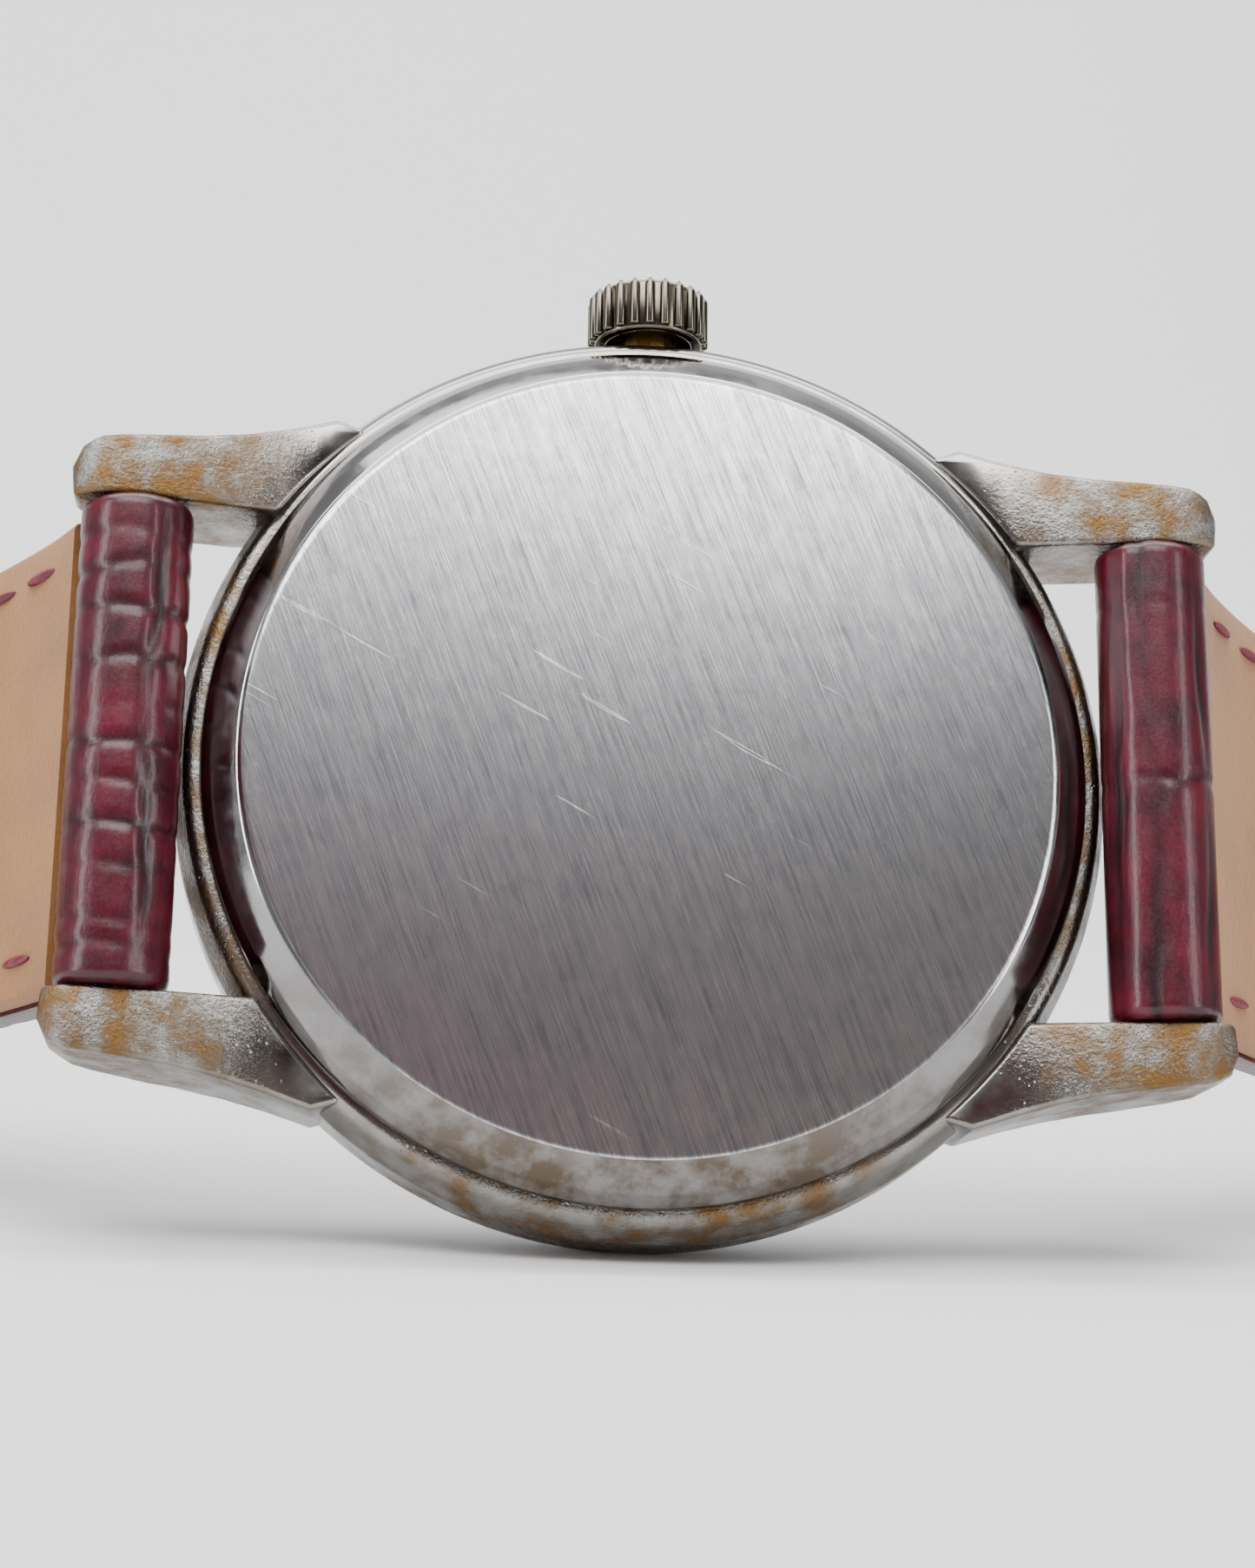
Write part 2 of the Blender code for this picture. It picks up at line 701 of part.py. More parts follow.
def make_buckle():
    x, y = strap_point(1, short_bend, short_length)
    angle = strap_angle(short_bend, short_length)
    buckle = empty("buckle_axis", (x, y, 0), strap_12_axis)
    buckle.rotation_euler = (0, 0, angle)
    wide, arm, inner_end = buckle_half_width, buckle_arm, buckle_length - buckle_bow
    outline = [(-1.0, wide - arm), (inner_end - 0.8, wide - arm), (inner_end, wide - arm - 0.8),
               (inner_end, arm - wide + 0.8), (inner_end - 0.8, arm - wide), (-1.0, arm - wide),
               (-1.35, arm - wide - 0.5), (-1.0, -wide), (buckle_length - 1.6, -wide),
               (buckle_length - 0.4, 0.9 - wide), (buckle_length, 2.4 - wide),
               (buckle_length, wide - 2.4), (buckle_length - 0.4, wide - 0.9),
               (buckle_length - 1.6, wide), (-1.0, wide), (-1.35, wide - arm + 0.5)]
    thick = buckle_half_thickness
    frame = flat("frame", [outline], -thick, thick)
    rounding = frame.modifiers.new("round", 'BEVEL')
    rounding.width = 0.35 * mm
    rounding.segments = 2
    rounding.limit_method = 'ANGLE'
    rounding.angle_limit = math.radians(60)
    hole = pin("bar_hole", buckle_hole_radius, 0.6 - wide, wide - 0.6, 8)
    cut(frame, moved(hole, rotation=towards_back))
    place(frame, "buckle_frame", "chrome", (0, 0, 0), towards_back, buckle)
    bar = turned("bar", [
        (0, wide - 0.65), (buckle_bar_radius, wide - 0.65), (buckle_bar_radius, 0.65 - wide),
        (0, 0.65 - wide)], 10)
    place(bar, "buckle_spring_bar", "steel", (0, 0, 0), upright, buckle)
    middle = thick + seat_gap + tongue_thickness / 2
    route = [(0.9, 0.25, 1.45, 0.8), (3.0, 0.7, 1.3, 0.9), (7.0, middle - 0.15, 1.15, 0.9),
             (inner_end - 0.6, middle + 0.05, 1.05, 0.9), (buckle_length - 1.0, middle + 0.05, 0.95, 0.9),
             (buckle_length + 0.6, middle - 0.1, 0.8, 0.8)]
    rings = []
    for along, out, half, deep_size in route:
        low, high = out - deep_size / 2, out + deep_size / 2
        rings.append([(along, low, -half), (along, low, half), (along, high - 0.2, half),
                      (along, high, half - 0.3), (along, high, 0.3 - half), (along, high - 0.2, -half)])
    tongue = loft("tongue", rings)
    eye = pin("eye", tongue_ring_radius, -tongue_half_width, tongue_half_width, 14)
    join(tongue, eye)
    cut(tongue, pin("eye_bore", buckle_bar_radius + seat_gap, -3, 3, 10))
    place(tongue, "buckle_tongue", "chrome", (0, 0, 0), upright, buckle)


# ---- movement ------------------------------------------------------------------------
def movement(piece, name, finish, at=centre_at):
    """Sets a piece with heights from the main plate's dial face, at (X, Z) on the plate."""
    place(piece, name, finish, (at[0], plate_dial_depth, at[1]))


def post(at, low, high, radius, steps=10):
    return moved(pin("post", radius, low, high, steps), at[0], at[1])


def pivot_holes(piece, places, low, high, radius=pivot_radius + pivot_clearance):
    for at in places:
        cut(piece, post(at, low - 0.5, high + 0.5, radius, 8))


screw_head_radius = 0.62
screw_head_height = 0.32
screw_shank_radius = 0.3
screw_depth = 0.6
barrel_feet = ((8.9, 7.6), (7.6, -6.2), (3.35, 11.25))
train_feet = ((-6.0, 8.7), (-10.6, -4.1))
fork_foot = (-7.0, -8.1)
cock_foot = (5.0, -10.2)
lever_pivot = (-2.9, 11.35)
yoke_pivot = (-4.0, 6.9)
click_pivot = (10.55, 3.1)
slot_bottom, slot_top = 5.75, 10.45


def make_main_plate():
    plate = turned("plate", [(0, plate_thickness), (plate_radius, plate_thickness),
                             (plate_radius, 0), (0, 0)], 36)
    inner_boss = block("inner_boss", (-0.65, 4.8, 0.8), (0.65, 5.6, 2.05))
    outer_boss = block("outer_boss", (-1.1, outer_boss_start, 0.8), (1.1, plate_radius - 0.1, 2.15))
    join(plate, inner_boss, outer_boss)
    window = block("window", (-1.5, slot_bottom, -1), (1.5, slot_top, 2))
    cut(plate, window)
    recess = moved(pin("recess", setting_radius + 0.3, -1, plate_thickness - 0.35, 12), *setting_at)
    cut(plate, recess)
    stem_way = pin("stem_way", stem_radius + pivot_clearance, 11, 14, 8)
    pivot_way = pin("pivot_way", 0.25 + pivot_clearance, 4, 6, 8)
    for way in (stem_way, pivot_way):
        cut(plate, moved(way, 0, 0, stem_height, (-math.pi / 2, 0, 0)))
    pivot_holes(plate, (third_at, escape_at, fork_at, balance_at), 0, 1)
    pivot_holes(plate, (fourth_at,), 0, 1)
    pivot_holes(plate, (centre_at,), 0, 1, 0.3)
    pivot_holes(plate, (barrel_at,), 0, 1, 0.56)
    screw_way = screw_shank_radius + pivot_clearance
    pivot_holes(plate, (lever_pivot, yoke_pivot), 0, 1, screw_way)
    pivot_holes(plate, barrel_feet + train_feet + (fork_foot, cock_foot), 0.6, 1, screw_way)
    movement(plate, "main_plate", "nickel")


def bridge(name, outline, low, high, feet, foot_radius, holes,
           hole_radius=pivot_radius + pivot_clearance):
    top = flat(name, [outline], low, high)
    for foot in feet:
        join(top, post(foot, plate_thickness + seat_gap, high - 0.1, foot_radius))
    pivot_holes(top, holes, low, high, hole_radius)
    for foot in feet:
        pivot_holes(top, (foot,), plate_thickness, high, screw_shank_radius + pivot_clearance)
    return top


def make_bridges():
    barrel_outline = (arc(plate_radius - 0.2, -48, 81, 12)
                      + [(1.75, 10.4), (1.3, 9.0), (1.2, 6.0), (1.45, 2.4), (1.5, -1.6), (3.2, -4.9),
                         (6.0, -7.2)])
    top = bridge("barrel_bridge", barrel_outline, bridge_low, bridge_high, barrel_feet, 0.75,
                 (crown_wheel_at,), screw_shank_radius + pivot_clearance)
    pivot_holes(top, (barrel_at,), bridge_low, bridge_high, 0.86)
    pivot_holes(top, (click_pivot,), bridge_low, bridge_high, 0.31)
    movement(top, "barrel_bridge", "nickel")
    train_outline = (arc(plate_radius - 0.2, 118, 213, 10)
                     + [(-7.6, -5.2), (-5.2, -4.7), (-4.4, -3.9), (-3.7, -2.0), (-0.4, -1.25),
                        (0.8, -0.9), (1.15, 0.0), (0.8, 0.9), (-0.9, 1.6), (-1.9, 5.2), (-2.4, 8.6),
                        (-5.0, 10.6)])
    top = bridge("train_bridge", train_outline, bridge_low, bridge_high, train_feet, 0.85,
                 (centre_at, third_at, fourth_at, escape_at))
    movement(top, "train_bridge", "nickel")
    fork_cock = bridge("pallet_cock", capsule(fork_at, 0.75, fork_foot, 1.0), 2.48, 2.78,
                       (fork_foot,), 0.8, (fork_at,))
    movement(fork_cock, "pallet_cock", "nickel")
    cock = bridge("balance_cock", capsule(balance_at, 1.15, cock_foot, 1.35), cock_low, cock_high,
                  (cock_foot,), 1.2, (balance_at,))
    movement(cock, "balance_cock", "nickel")


def make_screws():
    places = {"barrel_bridge_screw_1": (barrel_feet[0], bridge_high),
              "barrel_bridge_screw_2": (barrel_feet[1], bridge_high),
              "barrel_bridge_screw_3": (barrel_feet[2], bridge_high),
              "train_bridge_screw_1": (train_feet[0], bridge_high),
              "train_bridge_screw_2": (train_feet[1], bridge_high),
              "pallet_cock_screw": (fork_foot, 2.78),
              "balance_cock_screw": (cock_foot, cock_high)}
    for name, (at, seat) in places.items():
        low = seat + 0.03
        head = low + (screw_head_height if seat < cock_high else 0.1)
        screw = turned(name, [(0, head), (screw_head_radius, head), (screw_head_radius, low),
                              (screw_shank_radius, low), (screw_shank_radius, screw_depth),
                              (0, screw_depth)], 10)
        slot = block("slot", (-1, -0.08, head - 0.07), (1, 0.08, head + 1))
        cut(screw, slot)
        movement(screw, name, "blued", at)


def arbor(levels, steps=7):
    """A stepped arbor from (radius, top, bottom) lengths, listed from the top."""
    profile = [(0, levels[0][1])]
    for radius, top, bottom in levels:
        profile += [(radius, top), (radius, bottom)]
    profile.append((0, levels[-1][2]))
    return turned("arbor", profile, steps)


def wheel(name, outline, holes, low, high, levels, pinion=None, at=centre_at, finish="brass"):
    """A toothed wheel on its arbor, with its pinion's (outline, low, high)."""
    body = flat(name, [outline] + holes, low, high)
    join(body, arbor(levels))
    if pinion:
        leaves, pinion_low, pinion_high = pinion
        join(body, flat("pinion", [leaves], pinion_low, pinion_high))
    movement(body, name, finish, at)


to_third = heading(centre_at, third_at)
to_fourth = heading(third_at, fourth_at)
to_escape = heading(fourth_at, escape_at)
to_barrel = heading(centre_at, barrel_at)


def make_train():
    pivot = pivot_radius
    third_pinion = gear(third_pinion_teeth, third_pinion_radius,
                        mesh_phase(to_third, centre_teeth, third_pinion_teeth, to_third))
    fourth_pinion = gear(fourth_pinion_teeth, fourth_pinion_radius,
                         mesh_phase(to_fourth, third_teeth, fourth_pinion_teeth, to_fourth))
    escape_pinion = gear(escape_pinion_teeth, escape_pinion_radius,
                         mesh_phase(to_escape, fourth_teeth, escape_pinion_teeth, to_escape))
    barrel_phase = mesh_phase(to_barrel, centre_pinion_teeth, barrel_teeth, to_barrel)
    centre_pinion = gear(centre_pinion_teeth, centre_pinion_radius, to_barrel)
    cannon_end = plate_dial_depth - minute_hand_depth
    wheel("center_wheel", gear(centre_teeth, centre_radius, to_third),
          windows(4, 1.3, 3.75, 0.5), 1.15, 1.35,
          [(pivot, 2.8, 2.42), (0.4, 2.42, 1.05), (0.25, 1.05, cannon_end)],
          (centre_pinion, 1.3, 1.95))
    wheel("third_wheel", gear(third_teeth, third_radius, to_fourth),
          windows(4, 0.9, 3.05, 0.45), 2.2, 2.38,
          [(pivot, 2.8, 2.43), (0.3, 2.43, 1.06), (pivot, 1.06, 0.4)],
          (third_pinion, 1.1, 1.47), third_at)
    wheel("fourth_wheel", gear(fourth_teeth, fourth_radius, to_escape),
          windows(4, 0.9, 2.9, 0.42), 1.55, 1.73,
          [(pivot, 2.8, 2.43), (0.26, 2.43, 1.06),
           (pivot, 1.06, plate_dial_depth - seconds_hand_depth - 0.15)],
          (fourth_pinion, 1.7, 2.42), fourth_at)
    escape_outline = around(escape_teeth, 0.0, ((0.0, escape_radius), (0.12, escape_radius),
                                                (0.5, escape_radius - escape_tooth)))
    wheel("escape_wheel", escape_outline, windows(4, 0.6, 1.5, 0.32), 2.05, 2.19,
          [(pivot, 2.8, 2.43), (0.22, 2.43, 1.06), (pivot, 1.06, 0.4)],
          (escape_pinion, 1.3, 2.07), escape_at, "steel")
    drum = pin("barrel", barrel_radius - 0.4, 1.5, 2.4, 30)
    join(drum, flat("teeth", [gear(barrel_teeth, barrel_radius, barrel_phase),
                              circle(barrel_radius - 0.8, points=12)], 1.55, 1.82))
    cut(drum, pin("arbor_way", 0.58, 1, 3, 10))
    movement(drum, "barrel", "brass", barrel_at)
    spindle = arbor([(0.5, bridge_high + 0.02, 0.3)], 10)
    square = block("square", (-0.45, -0.45, 2.7), (0.45, 0.45, top_wheel_high + 0.02))
    movement(join(spindle, square), "barrel_arbor", "steel", barrel_at)


def make_winding_wheels():
    direction = heading(barrel_at, crown_wheel_at)
    ratchet = flat("ratchet", [gear(ratchet_teeth, ratchet_radius, direction),
                               [(-0.5, -0.5), (-0.5, 0.5), (0.5, 0.5), (0.5, -0.5)]],
                   top_wheel_low, top_wheel_high)
    movement(ratchet, "ratchet_wheel", "steel", barrel_at)
    driven = gear(crown_wheel_teeth, crown_wheel_radius,
                  mesh_phase(direction, ratchet_teeth, crown_wheel_teeth, direction))
    wheel_ring = flat("crown_wheel", [driven, circle(0.75)], top_wheel_low, top_wheel_high)
    movement(wheel_ring, "crown_wheel", "steel", crown_wheel_at)
    core = turned("core", [(0, 3.4), (1.06, 3.4), (1.06, 3.22), (0.69, 3.22),
                           (0.69, 2.88), (screw_shank_radius, 2.88), (screw_shank_radius, 2.4),
                           (0, 2.4)], 12)
    cut(core, block("slot", (-1.5, -0.1, 3.32), (1.5, 0.1, 4)))
    movement(core, "crown_wheel_core", "blued", crown_wheel_at)
    toward = heading(click_pivot, barrel_at)
    nose_angle = math.degrees(toward) - 34
    nose = beside((0, 0), 1.22, nose_angle)
    tail = beside((0, 0), 0.95, nose_angle + 150)
    click = flat("click", [capsule(nose, 0.09, (0, 0), 0.55, 6)], top_wheel_low, top_wheel_high)
    join(click, flat("tail", [capsule(tail, 0.2, (0, 0), 0.5, 5)], top_wheel_low, top_wheel_high))
    join(click, pin("stud", 0.25, 2.55, top_wheel_high + 0.1, 8))
    movement(click, "click", "steel", click_pivot)


def make_escapement():
    axis = math.radians(lever_angle)
    turn = Matrix.Rotation(axis, 4, 'Z')
    arms = flat("pallet_fork", [[
        (-1.0, 1.6), (-0.86, 1.72), (0.15, 0.7), (0.4, 0.28), (1.6, 0.16), (2.3, 0.28), (2.62, 0.26),
        (2.62, 0.13), (2.38, 0.11), (2.38, -0.11), (2.62, -0.13), (2.62, -0.26), (2.3, -0.28),
        (1.6, -0.16), (0.4, -0.28), (0.15, -0.7), (-0.86, -1.72), (-1.0, -1.6), (-0.28, -0.55),
        (-0.28, 0.55)]], 2.05, 2.19)
    arms.data.transform(turn)
    join(arms, arbor([(pivot_radius, 2.75, 2.43), (0.2, 2.43, 1.06), (pivot_radius, 1.06, 0.4)]))
    movement(arms, "pallet_fork", "steel", fork_at)
    rim = flat("balance", [circle(balance_radius, points=28)] + windows(2, 0.9, 3.75, 0.7), 2.9, 3.2)
    for i in range(8):
        angle = 22.5 + 45 * i
        x, y = beside((0, 0), balance_radius - 0.15, angle)
        weight = moved(pin("weight", 0.14, 0, 0.42, 6), x, y, 3.05,
                       (0, math.pi / 2, math.radians(angle)))
        join(rim, weight)
    join(rim, arbor([(pivot_radius, 3.95, 3.55), (0.22, 3.55, 2.45), (0.62, 2.45, 2.3),
                     (0.2, 2.3, 1.06), (pivot_radius, 1.06, 0.4)]))
    x, y = beside((0, 0), 0.45, lever_angle + 180)
    join(rim, moved(pin("impulse_pin", 0.08, 2.22, 2.35, 6), x, y))
    movement(rim, "balance_wheel", "brass", balance_at)
    turn_count, step_count, first, pitch = 5, 12, 0.5, 0.5
    curve = bpy.data.curves.new("hairspring", 'CURVE')
    curve.dimensions = '3D'
    curve.bevel_depth = 0.045
    curve.bevel_resolution = 0
    curve.use_fill_caps = True
    spline = curve.splines.new('POLY')
    spline.points.add(round(turn_count * step_count))
    for i, point in enumerate(spline.points):
        angle = 2 * math.pi * i / step_count
        reach = first + pitch * i / step_count
        point.co = (reach * math.cos(angle), reach * math.sin(angle), 3.4, 1)
    wire = link("hairspring_wire", curve, cutters)
    bpy.context.view_layer.update()
    seen = wire.evaluated_get(bpy.context.evaluated_depsgraph_get())
    mesh = bpy.data.meshes.new_from_object(seen)
    bpy.data.objects.remove(wire, do_unlink=True)
    clean(mesh, 1e-4)
    mesh.transform(Matrix.Scale(mm, 4))
    coil = link("hairspring", mesh, parts)
    movement(coil, "hairspring", "blued", balance_at)
    print("hairspring's gap to itself:", round(pitch - 2 * curve.bevel_depth, 3), "mm")


def make_keyless_work():
    axis_depth = plate_dial_depth - stem_height
    at = (0, axis_depth, 0)
    end = crown_top - 0.4
    stem = turned("stem", [
        (0, end), (stem_radius, end), (stem_radius, 11.35), (0.2, 11.35), (0.2, 10.65),
        (stem_radius, 10.65), (stem_radius, 8.1), (0.3, 8.0), (0.3, 5.9), (0.22, 5.8),
        (0.22, 4.75), (0, 4.75)], 10)
    place(stem, "winding_stem", "steel", at, upright)
    teeth = gear(14, 1.12)
    pinion = flat("winding_pinion", [teeth, circle(stem_radius + seat_gap, points=12)], 8.75, 9.75)
    collar = turned("collar", [(stem_radius + seat_gap, 8.85), (0.85, 8.85), (0.85, 8.35),
                               (stem_radius + seat_gap, 8.35)], 12)
    join(pinion, collar)
    place(pinion, "winding_pinion", "steel", at, upright)
    clutch = turned("clutch", [
        (stem_radius + seat_gap, 8.25), (0.85, 8.25), (0.85, 7.5), (0.55, 7.5), (0.55, 7.0),
        (0.85, 7.0), (0.85, 6.55), (stem_radius + seat_gap, 6.55)], 12)
    place(clutch, "sliding_clutch", "steel", at, upright)
    reach = (-0.34 - lever_pivot[0], lever_tip_at - lever_pivot[1])
    lever = flat("setting_lever", [capsule((0, 0), 0.6, reach, lever_tip_radius)], 1.35, 1.62)
    join(lever, pin("stud", screw_shank_radius, 0.4, 1.5, 8))
    movement(lever, "setting_lever", "steel", lever_pivot)
    reach = (-0.68 - yoke_pivot[0], 7.25 - yoke_pivot[1])
    yoke = flat("yoke", [capsule((0, 0), 0.55, reach, 0.13)], 1.4, 1.62)
    join(yoke, pin("stud", screw_shank_radius, 0.4, 1.5, 8))
    movement(yoke, "yoke", "steel", yoke_pivot)


def make_dial_side():
    to_minute = heading(centre_at, minute_at)
    minute_phase = mesh_phase(to_minute, cannon_teeth, minute_teeth, to_minute)
    hour_phase = mesh_phase(to_minute + math.pi, minute_pinion_teeth, hour_teeth,
                            to_minute + math.pi)
    setting_phase = mesh_phase(minute_phase, minute_teeth, setting_teeth, to_minute)
    minute_end = plate_dial_depth - minute_hand_depth - hand_thickness - 0.08
    cannon = flat("cannon", [gear(cannon_teeth, cannon_radius, to_minute)], -0.4, -0.08)
    join(cannon, pin("pipe", 0.41, minute_end, -0.3, 10))
    cut(cannon, pin("pipe_bore", 0.3, minute_end - 1, 1, 10))
    movement(cannon, "cannon_pinion", "steel")
    minute = flat("minute", [gear(minute_teeth, minute_radius, minute_phase)], -0.36, -0.12)
    join(minute, flat("leaves", [gear(minute_pinion_teeth, minute_pinion_radius,
                                      to_minute + math.pi)], -0.78, -0.3))
    movement(minute, "minute_wheel", "brass", minute_at)
    hour_end = plate_dial_depth - hour_hand_depth - hand_thickness - 0.06
    hour = flat("hour", [gear(hour_teeth, hour_radius, hour_phase)], -0.72, -0.48)
    join(hour, pin("pipe", 0.64, hour_end, -0.55, 12))
    cut(hour, pin("pipe_bore", 0.47, hour_end - 1, 1, 12))
    movement(hour, "hour_wheel", "brass")
    setting = flat("setting", [gear(setting_teeth, setting_radius, setting_phase)], -0.36, 0.55)
    movement(setting, "setting_wheel", "steel", setting_at)
    disc = flat("dial", [circle(bore_radius - 0.15, points=40), circle(0.85, points=12),
                         circle(0.3, fourth_at, 10)],
                plate_dial_depth - dial_back_depth - dial_thickness,
                plate_dial_depth - dial_back_depth)
    movement(disc, "dial", "dial")

    def hand(name, at, depth, eye, ring, reach, wide, points_to, finish):
        direction = math.radians(points_to)
        tail = -0.22 * reach
        outline = [(tail, -0.4 * wide), (tail, 0.4 * wide), (-0.5 * ring, 0.5 * wide)]
        outline += arc(ring, 150, 30, 5)
        outline += [(0.45 * reach, wide / 2), (reach, 0.12), (reach, -0.12), (0.45 * reach, -wide / 2)]
        outline += arc(ring, -30, -150, 5) + [(-0.5 * ring, -0.5 * wide)]
        high = plate_dial_depth - depth
        blade = flat(name, [outline, circle(eye, points=10)], high - hand_thickness, high)
        blade.data.transform(Matrix.Rotation(direction, 4, 'Z'))
        movement(blade, name, finish, at)

    hand("hour_hand", centre_at, hour_hand_depth, 0.68, 1.05, hour_hand_length, 0.75, 56, "blued")
    hand("minute_hand", centre_at, minute_hand_depth, 0.45, 0.85, minute_hand_length, 0.6, -48, "blued")
    hand("seconds_hand", fourth_at, seconds_hand_depth, 0.16, 0.36, seconds_hand_length, 0.22, 205,
         "blued")


def make_holder():
    stem_way = plate_dial_depth - stem_height
    low, high = holder_back_depth, dial_back_depth - seat_gap
    ring = turned("holder", deep([
        (holder_inner_radius, low), (holder_outer_radius - 0.3, low), (holder_outer_radius, low + 0.9),
        (holder_outer_radius, high), (holder_inner_radius, high)]), 32)
    way = pin("stem_way", 0.75, holder_inner_radius - 0.95, holder_outer_radius + 0.8, 8)
    cut(ring, moved(way, 0, 0, -stem_way, (-math.pi / 2, 0, 0)))
    place(ring, "movement_ring", "brass")


make_case_middle()
make_case_back()
make_gasket()
make_bezel()
make_crystal()
make_crown()
make_spring_bars()
make_strap("6", -1, long_bend, long_length, strap_6_axis)
make_strap("12", 1, short_bend, short_length, strap_12_axis)
bend_centre = (*strap_point(1, short_bend, 0, short_bend), 0)
keeper_axis = empty("keeper_axis", bend_centre, strap_12_axis)
make_keeper("sliding_keeper", sliding_keeper_at, keeper_axis, bend_centre)
make_keeper("fixed_keeper", fixed_keeper_at, strap_12_axis, (0, 0, 0))
make_buckle()
make_main_plate()
make_bridges()
make_screws()
make_train()
make_winding_wheels()
make_escapement()
make_keyless_work()
make_dial_side()
make_holder()


def stand_on_origin():
    """Moves the watch so that the middle of its footprint is the origin."""
    bpy.context.view_layer.update()
    seen = bpy.context.evaluated_depsgraph_get()
    corners = []
    for piece in parts.objects:
        if piece.type == 'MESH':
            shown = piece.evaluated_get(seen)
            corners += [piece.matrix_world @ vertex.co for vertex in shown.data.vertices]
    low = Vector([min(corner[i] for corner in corners) for i in range(3)])
    high = Vector([max(corner[i] for corner in corners) for i in range(3)])
    watch.location -= Vector(((low.x + high.x) / 2, (low.y + high.y) / 2, low.z))


stand_on_origin()
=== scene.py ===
import functools
import json
import math

import bmesh
import bpy
import numpy as np
from mathutils import Matrix, Vector


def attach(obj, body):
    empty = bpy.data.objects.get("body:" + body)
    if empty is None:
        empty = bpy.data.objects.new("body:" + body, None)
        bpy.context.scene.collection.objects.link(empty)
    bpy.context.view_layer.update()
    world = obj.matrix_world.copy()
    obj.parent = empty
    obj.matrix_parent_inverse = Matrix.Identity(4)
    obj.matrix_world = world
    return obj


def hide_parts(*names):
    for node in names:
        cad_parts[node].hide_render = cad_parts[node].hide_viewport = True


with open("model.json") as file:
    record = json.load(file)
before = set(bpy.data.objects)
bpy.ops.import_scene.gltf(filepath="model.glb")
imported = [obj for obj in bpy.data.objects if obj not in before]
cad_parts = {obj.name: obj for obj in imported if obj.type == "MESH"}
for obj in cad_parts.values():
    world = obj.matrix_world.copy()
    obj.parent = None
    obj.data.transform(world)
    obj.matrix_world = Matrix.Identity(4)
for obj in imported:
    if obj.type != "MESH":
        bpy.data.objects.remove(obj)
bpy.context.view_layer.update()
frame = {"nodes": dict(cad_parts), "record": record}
nodes = frame["nodes"]
print("frame loaded:", len(nodes), "nodes")

# The watch's own frame, in millimetres: x to 12 o'clock, y (depth) from the case back to
# the dial, z to the crown. It leans back and stands on its 9 o'clock edge.
lean = math.radians(16)
watchOrigin = Vector([m for m in frame["record"]["mounts"] if m["name"] == "case_back_face"][0]["pos_m"])
watchTurn = Matrix.Rotation(-lean, 4, 'X')
watchFrame = Matrix.Translation(watchOrigin) @ watchTurn @ Matrix.Scale(0.001, 4)


# small helpers
def linear(hexCode):
    # sRGB hex to the linear colour that a shader socket wants.
    parts = [int(hexCode[i:i + 2], 16) / 255 for i in (1, 3, 5)]
    return (*[p / 12.92 if p <= 0.04045 else ((p + 0.055) / 1.055) ** 2.4 for p in parts], 1)


def linked(thing):
    # Puts an object in the scene.
    bpy.context.scene.collection.objects.link(thing)
    return thing


def feed(node, links):
    # Sets a node's inputs, each as a value, a hex colour, or a link from another node or socket.
    for key, value in links.items():
        if isinstance(value, str):
            value = linear(value)
        if isinstance(value, bpy.types.Node):
            value = next(socket for socket in value.outputs if socket.enabled)
        if isinstance(value, bpy.types.NodeSocket):
            node.id_data.links.new(value, node.inputs[key])
        else:
            node.inputs[key].default_value = value


def addNode(tree, kind, links=None, stops=(), **settings):
    # One node with its settings, its inputs and, where it has a colour ramp, the ramp's stops.
    made = tree.nodes.new(kind)
    for key, value in settings.items():
        setattr(made, key, value)
    feed(made, links or {})
    for i, (at, colour) in enumerate(stops):
        stop = made.color_ramp.elements[i] if i < 2 else made.color_ramp.elements.new(at)
        stop.position = at
        stop.color = linear(colour) if isinstance(colour, str) else (colour, colour, colour, 1)
    return made


def startMaterial(name, rough=0.5, metallic=0.0):
    # A material, a way to add nodes to it, its shader, and coordinates in watch millimetres.
    material = bpy.data.materials.new(name)
    material.use_nodes = True
    add = functools.partial(addNode, material.node_tree)
    shader = material.node_tree.nodes["Principled BSDF"]
    shader.inputs["Roughness"].default_value = rough
    shader.inputs["Metallic"].default_value = metallic
    unturned = Matrix.Rotation(lean, 3, 'X') @ (watchOrigin * -1000)
    inWatch = add("ShaderNodeMapping", {
        "Vector": add("ShaderNodeTexCoord").outputs["Object"], "Location": unturned,
        "Rotation": (lean, 0, 0), "Scale": (1000, 1000, 1000)})
    return material, add, shader, inWatch


# node kinds that come often
noiseKind, cellKind, rampKind = "ShaderNodeTexNoise", "ShaderNodeTexVoronoi", "ShaderNodeValToRGB"
mathKind, mixKind = "ShaderNodeMath", "ShaderNodeMix"
mapKind, bumpKind = "ShaderNodeMapping", "ShaderNodeBump"


